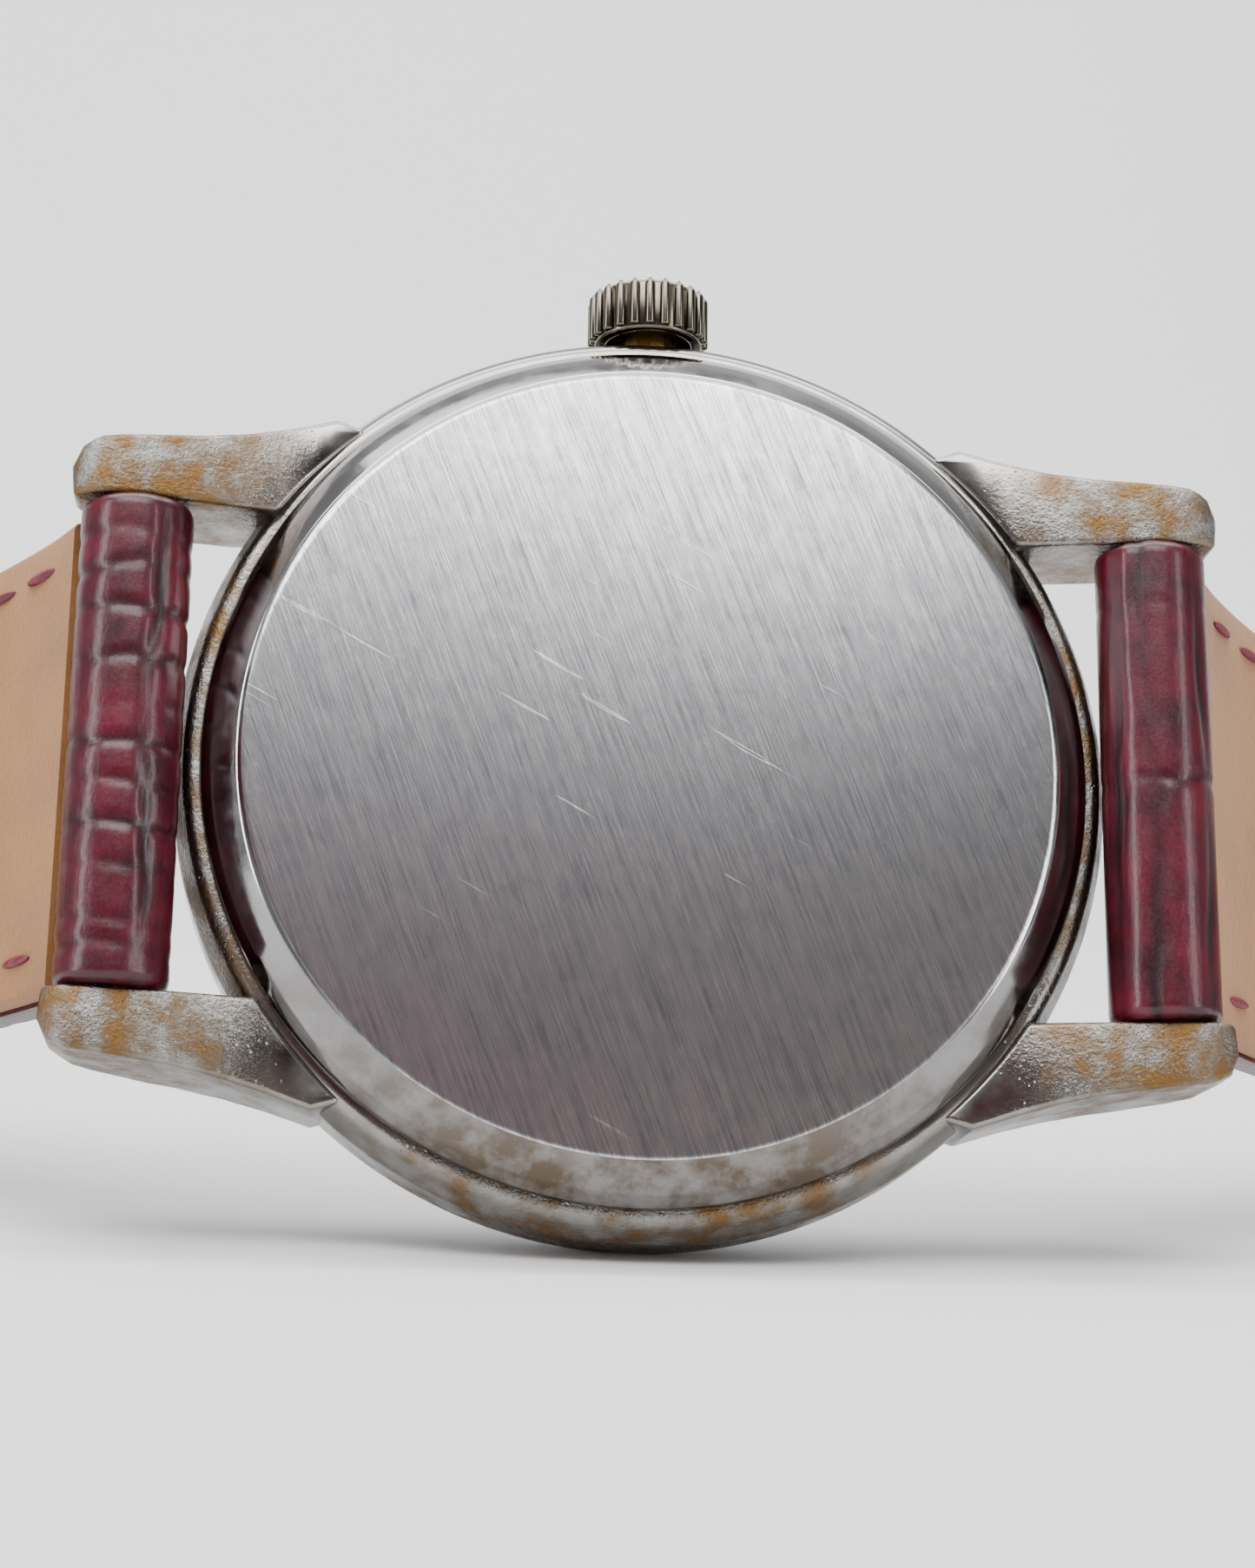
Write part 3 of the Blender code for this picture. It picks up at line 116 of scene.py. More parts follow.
# materials
def brushedSteel():
    # Stainless steel, hand brushed in one direction and scratched by wear.
    look = {"dark": "#707175", "light": "#d3d4d6", "brushTurn": 21, "scratchTurn": 61, "rough": (0.17, 0.28)}
    material, add, shader, mm = startMaterial("brushedStainlessBack", metallic=1)
    brushed = add(mapKind, {"Vector": mm, "Rotation": (0, math.radians(look["brushTurn"]), 0)})
    crossed = add(mapKind, {"Vector": mm, "Rotation": (0, math.radians(look["scratchTurn"]), 0)})
    handled = add(noiseKind, {"Vector": mm, "Scale": 0.9, "Detail": 8, "Roughness": 0.75})
    fine = add(noiseKind, {
        "Vector": add(mapKind, {"Vector": brushed, "Scale": (14.0, 1.0, 0.3)}),
        "Scale": 1.0, "Detail": 5, "Roughness": 0.7})
    broad = add(noiseKind, {
        "Vector": add(mapKind, {"Vector": brushed, "Scale": (3.6, 1.0, 0.2)}),
        "Scale": 1.0, "Detail": 3, "Roughness": 0.6})
    streaks = add(mathKind, {0: fine, 1: 0.5, 2: add(mathKind, {0: broad, 1: 0.25}, operation='MULTIPLY')},
                  operation='MULTIPLY_ADD')
    lines = add(mathKind, {0: handled, 1: 0.25, 2: streaks}, operation='MULTIPLY_ADD')
    cross = add(noiseKind, {
        "Vector": add(mapKind, {"Vector": crossed, "Scale": (3.0, 1.0, 0.12)}),
        "Scale": 1.0, "Detail": 2, "Roughness": 0.5})
    scratch = add(rampKind, {"Fac": cross}, [(0.0, 0.0), (0.7, 0.0), (0.72, 0.15), (0.74, 0.0)])
    colour = add(rampKind, {"Fac": lines}, [(0.38, look["dark"]), (0.6, look["light"])])
    low, high = look["rough"]
    feed(shader, {
        "Base Color": add(mixKind, {0: scratch, 6: colour, 7: "#e4e4e4"}, data_type='RGBA'),
        "Roughness": add(rampKind, {"Fac": lines}, [(0.32, high), (0.68, low)])})
    height = add(mathKind, {0: lines, 1: scratch}, operation='ADD')
    feed(shader, {"Normal": add(bumpKind, {"Height": height, "Strength": 0.28, "Distance": 0.00004})})
    return material


def polishedChrome(name, wear, pits=0.25, plate="#8f8d89"):
    # Chrome plate over brass: bright and cold, with brass showing where it has worn through.
    look = {"dull": "#5c574d", "brass": "#97672a", "tarnish": "#4a3718"}
    material, add, shader, mm = startMaterial(name, metallic=1)
    cloud = add(noiseKind, {"Vector": mm, "Scale": 0.7, "Detail": 5, "Roughness": 0.56})
    grain = add(noiseKind, {"Vector": mm, "Scale": 6.5, "Detail": 4, "Roughness": 0.65})
    split = add("ShaderNodeSeparateXYZ", {0: mm})
    outward = add(mathKind, {0: add(mathKind, {0: split.outputs[0]}, operation='ABSOLUTE'), 1: 0.05},
                  operation='MULTIPLY')
    downward = add(mathKind, {0: split.outputs[2], 1: -0.05}, operation='MULTIPLY')
    outer = add(rampKind, {"Fac": outward}, [(0.6, 0.0), (0.82, 1.0)])
    lower = add(rampKind, {"Fac": downward}, [(0.6, 0.0), (0.8, 1.0)])
    place = add(mathKind, {0: outer, 1: lower}, operation='MAXIMUM')
    patchy = add(mathKind, {0: cloud, 1: 0.88, 2: add(mathKind, {0: grain, 1: 0.12}, operation='MULTIPLY')},
                 operation='MULTIPLY_ADD')
    worn = add(rampKind, {"Fac": patchy}, [(0.56 - 0.14 * wear, 0.0), (0.76 - 0.14 * wear, 1.0)])
    share = add(mathKind, {0: add(mathKind, {0: worn, 1: place}, operation='MULTIPLY'), 1: 0.7 * wear},
                operation='MULTIPLY')
    dulled = add(mathKind, {0: add(rampKind, {"Fac": cloud}, [(0.35, 0.2), (0.65, 1.0)]),
                            1: add(mathKind, {0: place, 1: 0.2}, operation='ADD')}, operation='MULTIPLY')
    plated = add(mixKind, {0: dulled, 6: plate, 7: look["dull"]}, data_type='RGBA')
    brass = add(mixKind, {0: grain, 6: look["brass"], 7: look["tarnish"]}, data_type='RGBA')
    smooth = add(rampKind, {"Fac": cloud}, [(0.35, 0.12), (0.7, 0.26)])
    spots = add(cellKind, {"Vector": mm, "Scale": 3.2})
    pit = add(rampKind, {"Fac": spots}, [(0.05, 0.0), (0.16, 1.0)])
    rubbed = add(mathKind, {0: grain, 1: 1.3, 2: pit}, operation='MULTIPLY_ADD')
    height = add(mathKind, {0: rubbed, 1: place}, operation='MULTIPLY')
    feed(shader, {
        "Base Color": add(mixKind, {0: share, 6: plated, 7: brass}, data_type='RGBA'),
        "Roughness": add(mathKind, {0: share, 1: 0.2, 2: smooth}, operation='MULTIPLY_ADD'),
        "Normal": add(bumpKind, {"Height": height, "Strength": pits, "Distance": 0.0001})})
    return material


def polishedBevel():
    # The turned and polished edge of the steel back, with hairlines round it and painted shade at its foot:
    # brown and darker towards the bottom.
    material, add, shader, mm = startMaterial("polishedSteelBevel", metallic=1)
    cloud = add(noiseKind, {"Vector": mm, "Scale": 0.6, "Detail": 6, "Roughness": 0.65})
    split = add("ShaderNodeSeparateXYZ", {0: mm})
    # painted shade: towards its foot, where the watch stands, the bevel is mixed brown and darker in cloudy
    # patches
    downward = add(mathKind, {0: split.outputs[2], 1: -0.06}, operation='MULTIPLY')
    low = add(rampKind, {"Fac": downward}, [(0.3, 0.0), (0.9, 1.0)])
    footShade = add(mathKind, {0: add(rampKind, {"Fac": cloud}, [(0.38, 0.5), (0.58, 1.0)]), 1: low},
                operation='MULTIPLY')
    feed(shader, {
        "Base Color": add(mixKind, {0: footShade, 6: "#969697", 7: "#574c40"}, data_type='RGBA'),
        "Roughness": add(rampKind, {"Fac": cloud}, [(0.35, 0.06), (0.7, 0.2)]),
        "Normal": add(bumpKind, {"Height": add(noiseKind, {"Vector": mm, "Scale": 6.0, "Detail": 2}),
                                 "Strength": 0.05, "Distance": 0.00003})})
    return material


def plainMetal(name, colour, darker, roughness, stripes=None):
    # A machined movement part: a fine grain, and Geneva stripes on the bridges.
    material, add, shader, mm = startMaterial(name, metallic=1)
    turned = add(mapKind, {"Vector": mm, "Rotation": (0, 0.6, 0)})
    grain = add(noiseKind, {
        "Vector": add(mapKind, {"Vector": turned, "Scale": (9.0, 3.0, 1.2)}),
        "Scale": 1.0, "Detail": 3, "Roughness": 0.6})
    tone = grain
    if stripes:
        across = add(mapKind, {"Vector": mm, "Rotation": (0, stripes, 0)})
        wave = add("ShaderNodeTexWave", {"Vector": across, "Scale": 0.13},
                   wave_type='BANDS', bands_direction='X', wave_profile='SAW')
        banded = add(mathKind, {0: wave.outputs[1], 1: 0.7}, operation='MULTIPLY')
        tone = add(mathKind, {0: grain, 1: 0.3, 2: banded}, operation='MULTIPLY_ADD')
    feed(shader, {
        "Base Color": add(mixKind, {0: tone, 6: colour, 7: darker}, data_type='RGBA'),
        "Roughness": add(rampKind, {"Fac": tone}, [(0.2, roughness), (0.8, roughness + 0.14)]),
        "Normal": add(bumpKind, {"Height": tone, "Strength": 0.12, "Distance": 0.00003})})
    return material


def embossedLeather():
    # Glazed calf, stamped with a crocodile grain: deep burgundy, with painted shade darkening its grooves and
    # creases.
    look = {"deep": "#25020b", "middle": "#3f0415", "raised": "#53071d", "groove": "#0c0104"}
    material, add, shader, mm = startMaterial("glazedBurgundyCalf")
    patches = add(noiseKind, {"Vector": mm, "Scale": 0.5, "Detail": 4, "Roughness": 0.6})
    pores = add(noiseKind, {"Vector": mm, "Scale": 9.0, "Detail": 3, "Roughness": 0.6})
    groove = add("ShaderNodeAttribute", attribute_name="groove").outputs["Fac"]
    skin = add(rampKind, {"Fac": patches}, [
        (0.3, look["deep"]), (0.5, look["middle"]), (0.72, look["raised"])])
    wrinkle = add(noiseKind, {
        "Vector": add(mapKind, {"Vector": mm, "Scale": (1.8, 1.8, 0.6)}),
        "Scale": 1.0, "Detail": 4, "Roughness": 0.55})
    height = add(mathKind, {0: pores, 1: 0.15, 2: wrinkle}, operation='MULTIPLY_ADD')
    # painted shade: the groove depth mixes the colour towards near-black in the stamped grooves and the
    # creases round the bar
    feed(shader, {
        "Base Color": add(mixKind, {0: groove, 6: skin, 7: look["groove"]}, data_type='RGBA'),
        "Roughness": add(rampKind, {"Fac": pores}, [(0.3, 0.28), (0.7, 0.4)]),
        "Coat Weight": 0.12, "Coat Roughness": 0.12, "IOR": 1.42,
        "Normal": add(bumpKind, {"Height": height, "Strength": 0.3, "Distance": 0.00012})})
    return material


def liningLeather():
    # Undyed vegetable-tanned lining: matt, with pores and a faint soil mark.
    material, add, shader, mm = startMaterial("tanLiningLeather", 0.68)
    fibres = add(noiseKind, {"Vector": mm, "Scale": 7.0, "Detail": 5, "Roughness": 0.68})
    soil = add(noiseKind, {"Vector": mm, "Scale": 0.22, "Detail": 3, "Roughness": 0.5})
    soiled = add(rampKind, {"Fac": soil}, [(0.45, 0.0), (0.8, 0.5)])
    hide = add(mixKind, {0: fibres, 6: "#a06f3a", 7: "#7a4f24"}, data_type='RGBA')
    height = add(mathKind, {0: fibres, 1: add(cellKind, {"Vector": mm, "Scale": 3.6})}, operation='ADD')
    feed(shader, {
        "Base Color": add(mixKind, {0: soiled, 6: hide, 7: "#5f4022"}, data_type='RGBA'),
        "Sheen Weight": 0.15,
        "Normal": add(bumpKind, {"Height": height, "Strength": 0.25, "Distance": 0.00008})})
    return material


def mottled(name, first, second, scale, roughness, relief=0.05, detail=5, twist=False, index=1.5):
    # A plain stuff whose two tones mix in small patches, or in the turns of a twisted thread.
    material, add, shader, mm = startMaterial(name, roughness)
    if twist:
        tone = add("ShaderNodeTexWave", {"Vector": mm, "Scale": scale, "Distortion": 1.5},
                   wave_type='BANDS', bands_direction='DIAGONAL').outputs[1]
    else:
        tone = add(noiseKind, {"Vector": mm, "Scale": scale, "Detail": detail, "Roughness": 0.6})
    feed(shader, {
        "Base Color": add(mixKind, {0: tone, 6: first, 7: second}, data_type='RGBA'),
        "IOR": index,
        "Normal": add(bumpKind, {"Height": tone, "Strength": relief, "Distance": 0.00006})})
    return material


def clearAcrylic():
    # Cast acrylic: clear, with the faint haze of old polishing.
    material, add, shader, mm = startMaterial("clearAcrylic")
    haze = add(noiseKind, {"Vector": mm, "Scale": 2.0, "Detail": 4, "Roughness": 0.6})
    feed(shader, {"Base Color": "#f6f8f8", "Transmission Weight": 1, "IOR": 1.49,
                  "Roughness": add(rampKind, {"Fac": haze}, [(0.4, 0.01), (0.8, 0.06)])})
    return material


backSteel = brushedSteel()
bevelSteel = polishedBevel()
caseChrome = polishedChrome("wornChromeOverBrass", 1.0, 0.5)
crownChrome = polishedChrome("tarnishedChromeCrown", 0.0, plate="#6f695e")
bezelChrome = polishedChrome("chromedBezel", 0.25, 0.1)
burgundy = embossedLeather()
tan = liningLeather()
# waxed polyester thread, twisted
stitchThread = mottled("waxedBurgundyThread", "#4a0a1d", "#7a1733", 2.2, 0.5, 0.4, twist=True)
nickelPlate = plainMetal("nickelPlatedBrass", "#b9b4a5", "#9a9587", 0.28, stripes=0.5)
mainPlateFinish = plainMetal("grainedNickelPlate", "#b3ae9f", "#98937f", 0.34)
giltBrass = plainMetal("giltBrass", "#c9a257", "#9f7a38", 0.24)
hardSteel = plainMetal("polishedHardSteel", "#a9aaab", "#84868a", 0.18)
bluedSteel = plainMetal("temperBluedSteel", "#1e3a86", "#16225a", 0.2)
# silvered and printed lacquer, slightly mottled with age
dialLacquer = mottled("silveredLacquer", "#e6dfcd", "#d6cbb2", 1.6, 0.38)
dialInk = mottled("printedInk", "#1c1a19", "#2b2724", 1.6, 0.45)
acrylic = clearAcrylic()
# moulded nitrile rubber, with a dusty bloom
rubber = mottled("mouldedRubber", "#151515", "#2a2927", 3.0, 0.75)
# synthetic ruby, polished
jewelRuby = mottled("syntheticRuby", "#a3123a", "#c92a55", 4.0, 0.08, 0.0, 2, index=1.76)
print("materials made:", len(bpy.data.materials))


# mesh helpers
def finishPiece(name, mesh, materials, body, replaced=(), sharp=38):
    # Puts a mesh that was made in watch millimetres where it belongs, as a piece at the origin.
    for face in mesh.polygons:
        face.use_smooth = True
    mesh.set_sharp_from_angle(angle=math.radians(sharp))
    mesh.transform(watchFrame)
    mesh.materials.clear()
    for material in materials if isinstance(materials, (list, tuple)) else [materials]:
        mesh.materials.append(material)
    piece = linked(bpy.data.objects.new(name, mesh))
    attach(piece, body)
    if replaced:
        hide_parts(*replaced)
    return piece


def cleaned(mesh, merge=1e-4):
    # The same mesh with doubles merged and every face turned outwards.
    shape = bmesh.new()
    shape.from_mesh(mesh)
    if merge:
        bmesh.ops.remove_doubles(shape, verts=shape.verts, dist=merge)
    bmesh.ops.recalc_face_normals(shape, faces=shape.faces)
    shape.to_mesh(mesh)
    shape.free()
    return mesh


def meshFrom(points, faces):
    mesh = bpy.data.meshes.new("mesh")
    mesh.from_pydata([tuple(p) for p in points], [], faces)
    return cleaned(mesh)


def skinFaces(rows, count, closed=False):
    # Quads between rows of points, where each row closes on itself.
    faces = []
    for i in range(rows if closed else rows - 1):
        after = (i + 1) % rows
        for j in range(count):
            k = (j + 1) % count
            faces.append((i * count + j, i * count + k, after * count + k, after * count + j))
    return faces


def rounded(profile, radius, segments=3):
    # Rounds the corners of a closed outline by up to a radius, but not on a turned solid's axis.
    made = []
    for i, corner in enumerate(profile):
        here, before, after = Vector(corner), Vector(profile[i - 1]), Vector(profile[(i + 1) % len(profile)])
        if abs(here.x) <= 1e-6:
            made.append(tuple(here))
            continue
        reach = min(radius, (before - here).length * 0.4, (after - here).length * 0.4)
        start, end = here + (before - here).normalized() * reach, here + (after - here).normalized() * reach
        for j in range(segments + 1):
            t = j / segments
            made.append(tuple(start * (1 - t) ** 2 + here * 2 * t * (1 - t) + end * t * t))
    return made


def spun(profile, steps=192, axis='Y'):
    # A solid turned about the depth axis, or about the stem, from a closed (r, along) profile.
    points, faces, count = [], [], len(profile)
    for i in range(steps):
        angle = 2 * math.pi * i / steps
        for r, along in profile:
            if axis == 'Y':
                points.append((r * math.cos(angle), along, r * math.sin(angle)))
            else:
                points.append((r * math.cos(angle), r * math.sin(angle), along))
    for i in range(steps):
        after = (i + 1) % steps
        for j in range(count):
            k = (j + 1) % count
            if profile[j][0] < 1e-6 and profile[k][0] < 1e-6:
                continue
            faces.append((i * count + j, i * count + k, after * count + k, after * count + j))
    return meshFrom(points, faces)


def rod(radius, low, high, steps=24, soft=0.0):
    profile = [(0, low), (radius, low), (radius, high), (0, high)]
    return spun(rounded(profile, soft) if soft else profile, steps, 'Z')


def slab(loops, half, bevel=0.0):
    # A flat piece from closed outlines, as thick as half both ways, with softened edges.
    curve = bpy.data.curves.new("outline", 'CURVE')
    curve.dimensions = '2D'
    curve.fill_mode = 'BOTH'
    curve.extrude = half - bevel
    curve.bevel_depth = bevel
    curve.offset = -bevel
    curve.bevel_resolution = 2
    for loop in loops:
        spline = curve.splines.new('POLY')
        spline.points.add(len(loop) - 1)
        for point, at in zip(spline.points, loop):
            point.co = (*at, 0, 1)
        spline.use_cyclic_u = True
    return plain(bpy.data.objects.new("outline", curve))


def extruded(loops, low, high, bevel=0.0):
    # A slab from (x, z) outlines between two depths.
    mesh = slab(loops, (high - low) / 2, bevel)
    mesh.transform(Matrix.Translation((0, (low + high) / 2, 0)) @ Matrix.Rotation(math.pi / 2, 4, 'X'))
    return mesh


def plain(maker):
    # The evaluated mesh of an object that is then removed.
    linked(maker)
    bpy.context.view_layer.update()
    seen = maker.evaluated_get(bpy.context.evaluated_depsgraph_get())
    mesh = bpy.data.meshes.new_from_object(seen)
    bpy.data.objects.remove(maker, do_unlink=True)
    return cleaned(mesh)


def combined(base, tools, operation):
    # The base mesh joined with or cut by tool meshes, one exact Boolean each.
    maker = bpy.data.objects.new("maker", base)
    helpers = []
    for tool in tools:
        helper = linked(bpy.data.objects.new("helper", tool))
        step = maker.modifiers.new("step", 'BOOLEAN')
        step.operation = operation
        step.solver = 'EXACT'
        step.object = helper
        helpers.append(helper)
    mesh = plain(maker)
    for helper in helpers:
        bpy.data.objects.remove(helper, do_unlink=True)
    return mesh


def arcPoints(radius, first, last, count):
    return [(radius * math.cos(math.radians(first + (last - first) * i / (count - 1))),
             radius * math.sin(math.radians(first + (last - first) * i / (count - 1))))
            for i in range(count)]


def ring(radius, at=(0, 0), count=96):
    return [(at[0] + x, at[1] + z) for x, z in arcPoints(radius, 0, 360 * (1 - 1 / count), count)]


# case back, case, bezel and crystal
caseBack = {"flat": 14.45, "edge": 14.68, "bevel": 15.95, "seam": 1.7, "lip": 15.4, "lipDepth": 2.7,
            "inside": 14.75, "wall": 0.85}


def makeCaseBack(s):
    profile = [(0, 0), (s["flat"], 0), (s["edge"], 0.09), (15.2, 0.55), (15.62, 0.95), (s["bevel"], 1.38),
               (s["bevel"] + 0.1, s["seam"]), (s["lip"], s["seam"]), (s["lip"], s["lipDepth"]),
               (s["inside"], s["lipDepth"]), (s["inside"], 1.6), (s["inside"] - 0.4, s["wall"]),
               (0, s["wall"])]
    mesh = spun(rounded(profile, 0.08), 256)
    back = finishPiece("caseBackShell", mesh, [backSteel, bevelSteel], "back",
                       ["case_back"], 25)
    toWatch = watchFrame.inverted()
    for face in back.data.polygons:
        centre = toWatch @ face.center
        if math.hypot(centre.x, centre.z) > s["edge"] - 0.12 and centre.y < 1.75:
            face.material_index = 1


makeCaseBack(caseBack)

lug = {"gap": 18.0, "tip": 21.05, "inner": 16.3, "softness": 0.35, "reach": 14.0}


def makeCaseMiddle(s):
    profile = [(15.45, 1.75), (16.3, 1.75), (16.6, 2.0), (17.04, 3.1), (17.04, 5.35), (16.74, 6.05),
               (15.5, 6.05), (15.5, 7.0), (13.3, 7.0), (13.3, 6.35), (14.35, 6.35), (14.35, 3.08),
               (15.45, 3.08)]
    body = spun(rounded(profile, 0.14), 256)
    half = s["gap"] / 2
    rise = math.degrees(math.asin(half / s["inner"]))
    quarter = arcPoints(s["inner"], 50.0, rise, 12) + [
        (s["tip"] - 0.1, half), (s["tip"], half + 1.1), (s["tip"] - 0.35, half + 1.85),
        (s["tip"] - 1.1, half + 2.2), (18.2, half + 2.38), (16.4, half + 2.6), (14.8, half + 2.9),
        (13.3, half + 3.3), (11.6, half + 3.85)]
    # the lug from the side, with the flat rear face of the photo
    side = [(9.0, 5.5), (15.5, 5.5), (17.6, 5.1), (19.4, 4.1), (20.6, 2.9), (21.2, 1.6), (21.0, 0.6),
            (20.3, 0.15), (19.3, 0.1), (18.2, 0.25), (16.9, 0.55), (15.6, 0.85), (14.3, 1.15), (12.5, 1.5),
            (9.0, 2.0)]
    lugs = []
    for i in (1, -1):
        flank = slab([[(x * i, depth) for x, depth in side]], s["reach"])
        for j in (1, -1):
            mesh = extruded([[(x * i, z * j) for x, z in quarter]], -0.2, 6.0)
            maker = bpy.data.objects.new("lug", combined(mesh, [flank.copy()], 'INTERSECT'))
            soften = maker.modifiers.new("soften", 'BEVEL')
            soften.width = s["softness"]
            soften.segments = 4
            soften.limit_method = 'ANGLE'
            soften.angle_limit = math.radians(40)
            lugs.append(plain(maker))
    mesh = combined(body, lugs, 'UNION')
    hole = rod(1.1, 13.5, 18.0, 32)
    hole.transform(Matrix.Translation((0, 3.6, 0)))
    mesh = combined(mesh, [hole], 'DIFFERENCE')
    finishPiece("caseMiddleBody", mesh, caseChrome, "case", ["case_middle"], 32)


makeCaseMiddle(lug)


crystal = {"radius": 14.6, "inside": 13.65, "low": 7.05, "rim": 7.9, "outerRise": 2.1, "innerRise": 2.05,
           "steps": 16}


def makeBezelAndCrystal(s):
    profile = [(15.55, 6.1), (16.5, 6.1), (16.5, 6.55), (16.1, 7.15), (15.35, 7.9), (14.65, 8.0),
               (14.65, 7.05), (15.55, 7.05)]
    finishPiece("bezelRing", spun(rounded(profile, 0.1)), bezelChrome, "case", ["bezel"], 30)
    shares = [1 - i / s["steps"] for i in range(s["steps"] + 1)]
    outer = [(s["radius"] * share, s["rim"] + s["outerRise"] * (1 - share ** 2)) for share in shares]
    inner = [(s["inside"] * share, s["low"] + s["innerRise"] * (1 - share ** 2)) for share in shares]
    mesh = spun(outer[::-1] + [(s["radius"], s["low"])] + inner, 144)
    finishPiece("crystalDome", mesh, acrylic, "case", ["crystal"], 50)


makeBezelAndCrystal(crystal)
print("case made")

# crown: a turned body with flutes, each ridge set round it by Geometry Nodes
crown = {"ridges": 23, "radius": 2.3, "root": 2.06, "bottom": 17.17, "top": 19.35, "depth": 3.6,
         "recess": 1.6, "recessDeep": 1.3, "proud": 0.045}


def groupWithInputs(name, inputs):
    # A Geometry Nodes tree with named inputs: a way to add nodes to it, its two end nodes, and
    # the recipe that grown() runs.
    tree = bpy.data.node_groups.new(name, 'GeometryNodeTree')
    tree.interface.new_socket("Geometry", in_out='INPUT', socket_type='NodeSocketGeometry')
    kinds = {int: 'NodeSocketInt', float: 'NodeSocketFloat', bpy.types.Object: 'NodeSocketObject'}
    identifiers = {}
    for key, value in inputs.items():
        socket = tree.interface.new_socket(key, in_out='INPUT', socket_type=kinds[type(value)])
        socket.default_value = value
        identifiers[key] = socket.identifier
    tree.interface.new_socket("Geometry", in_out='OUTPUT', socket_type='NodeSocketGeometry')
    add = functools.partial(addNode, tree)
    return add, add("NodeGroupInput").outputs, add("NodeGroupOutput"), (tree, identifiers)


def endTree(add, out, geometry, material):
    real = add("GeometryNodeRealizeInstances", {0: geometry})
    feed(out, {0: add("GeometryNodeSetMaterial", {"Geometry": real, "Material": material})})


def grown(recipe, values, holder=None):
    # Runs a tree, on a curve where it needs one, and returns the plain mesh that it makes.
    tree, identifiers = recipe
    maker = bpy.data.objects.new("grower", holder or bpy.data.meshes.new("seed"))
    step = maker.modifiers.new("grow", 'NODES')
    step.node_group = tree
    for key, value in values.items():
        step[identifiers[key]] = value
    return plain(maker)


def makeCrown(s):
    root, low, top, recess = s["root"], s["bottom"], s["top"], s["recess"]
    deep = low + s["recessDeep"]
    profile = [(0, top + 0.16), (1.3, top + 0.05), (root, top - 0.25), (root, low), (recess, low),
               (recess, deep), (0.45, deep), (0.45, top - 0.3), (0, top - 0.3)]
    body = spun(rounded(profile, 0.12), 115, 'Z')
    ridge = spun(rounded([(0, -1.0), (0.2, -0.98), (0.2, 0.72), (0, 0.95)], 0.1, 4), 12, 'Z')
    holder = linked(bpy.data.objects.new("ridge", ridge))
    values = {"Ridges": s["ridges"], "Radius": root + s["proud"], "Ridge": holder}
    add, given, out, recipe = groupWithInputs("crownRidges", values)
    circle = add("GeometryNodeMeshCircle", {"Vertices": given["Ridges"], "Radius": given["Radius"]})
    shape = add("GeometryNodeObjectInfo", {"Object": given["Ridge"]})
    placed = add("GeometryNodeInstanceOnPoints", {
        "Points": circle, "Instance": shape.outputs["Geometry"]})
    endTree(add, out, placed.outputs[0], crownChrome)
    ridges = grown(recipe, values)
    bpy.data.objects.remove(holder, do_unlink=True)
    ridges.transform(Matrix.Translation((0, s["depth"], (low + top) / 2)))
    body.transform(Matrix.Translation((0, s["depth"], 0)))
    finishPiece("crownBody", body, crownChrome, "stem", ["crown"], 35)
    finishPiece("crownFlutes", ridges, crownChrome, "stem", (), 50)


makeCrown(crown)
print("crown made")

# strap, in the section that part.py gives it
strap = {"barX": 18.67, "barDepth": 1.6, "startAngle": 62.0, "longBend": 65.58929, "shortBend": 50.61085,
         "wide": 17.7, "endWide": 16.0, "taper": 50.0, "long": 112.0, "short": 75.0, "wrap": 2.02,
         "bore": 0.95, "innerFace": 0.6, "liningLow": 0.65, "liningTop": 1.5, "firstHole": 60.0,
         "holePitch": 6.8, "holes": 7, "endWrap": 1.6, "endBore": 0.85}
paddingTable = [(1.25, 1.45), (2.6, 1.8), (8.0, 2.15), (30.0, 1.6), (55.0, 0.95), (112.0, 0.8)]
# distances from the pointed end at which the tip's outline is drawn
pointEnds = [10, 8.6, 7.3, 6, 4.9, 3.9, 3, 2.3, 1.7, 1.2, 0.8, 0.5, 0.25, 0]


def padding(along):
    return float(np.interp(along, *zip(*paddingTable)))


def turnAt(side, along):
    # How far the strap's curve has still to turn at a length along it.
    return math.radians(strap["startAngle"]) - along / strap["longBend" if side < 0 else "shortBend"]


def strapPoint(side, along, out):
    # The place on the strap's curve at a length along it, and so far out towards the wrist.
    bend = strap["longBend" if side < 0 else "shortBend"]
    start, angle = math.radians(strap["startAngle"]), turnAt(side, along)
    x = bend * (math.sin(start) - math.sin(angle)) + out * math.sin(angle)
    y = bend * (math.cos(angle) - math.cos(start)) - out * math.cos(angle)
    return side * (strap["barX"] + x), strap["barDepth"] + y


def halfWidth(along, side):
    wide = np.interp(along, [0, 2, 4, strap["taper"]],
                     [8.93, 8.93, strap["wide"] / 2 - 0.06, strap["endWide"] / 2])
    left = strap["long"] - along
    if side < 0 and left < 10:
        wide = min(wide, 8.0 * math.sqrt(1 - 0.96 * ((10 - left) / 10) ** 2))
    return float(wide)


def crowned(v):
    # How much of the padding's height the leather keeps, from the middle to the edge.
    v = abs(v)
    blend = np.clip((v - 0.45) / 0.43, 0, 1)
    fall = 0.2 * blend * blend * (3 - 2 * blend)
    edge = np.clip((v - 0.88) / 0.12, 0, 1)
    return 1 - fall - 0.55 * edge * edge


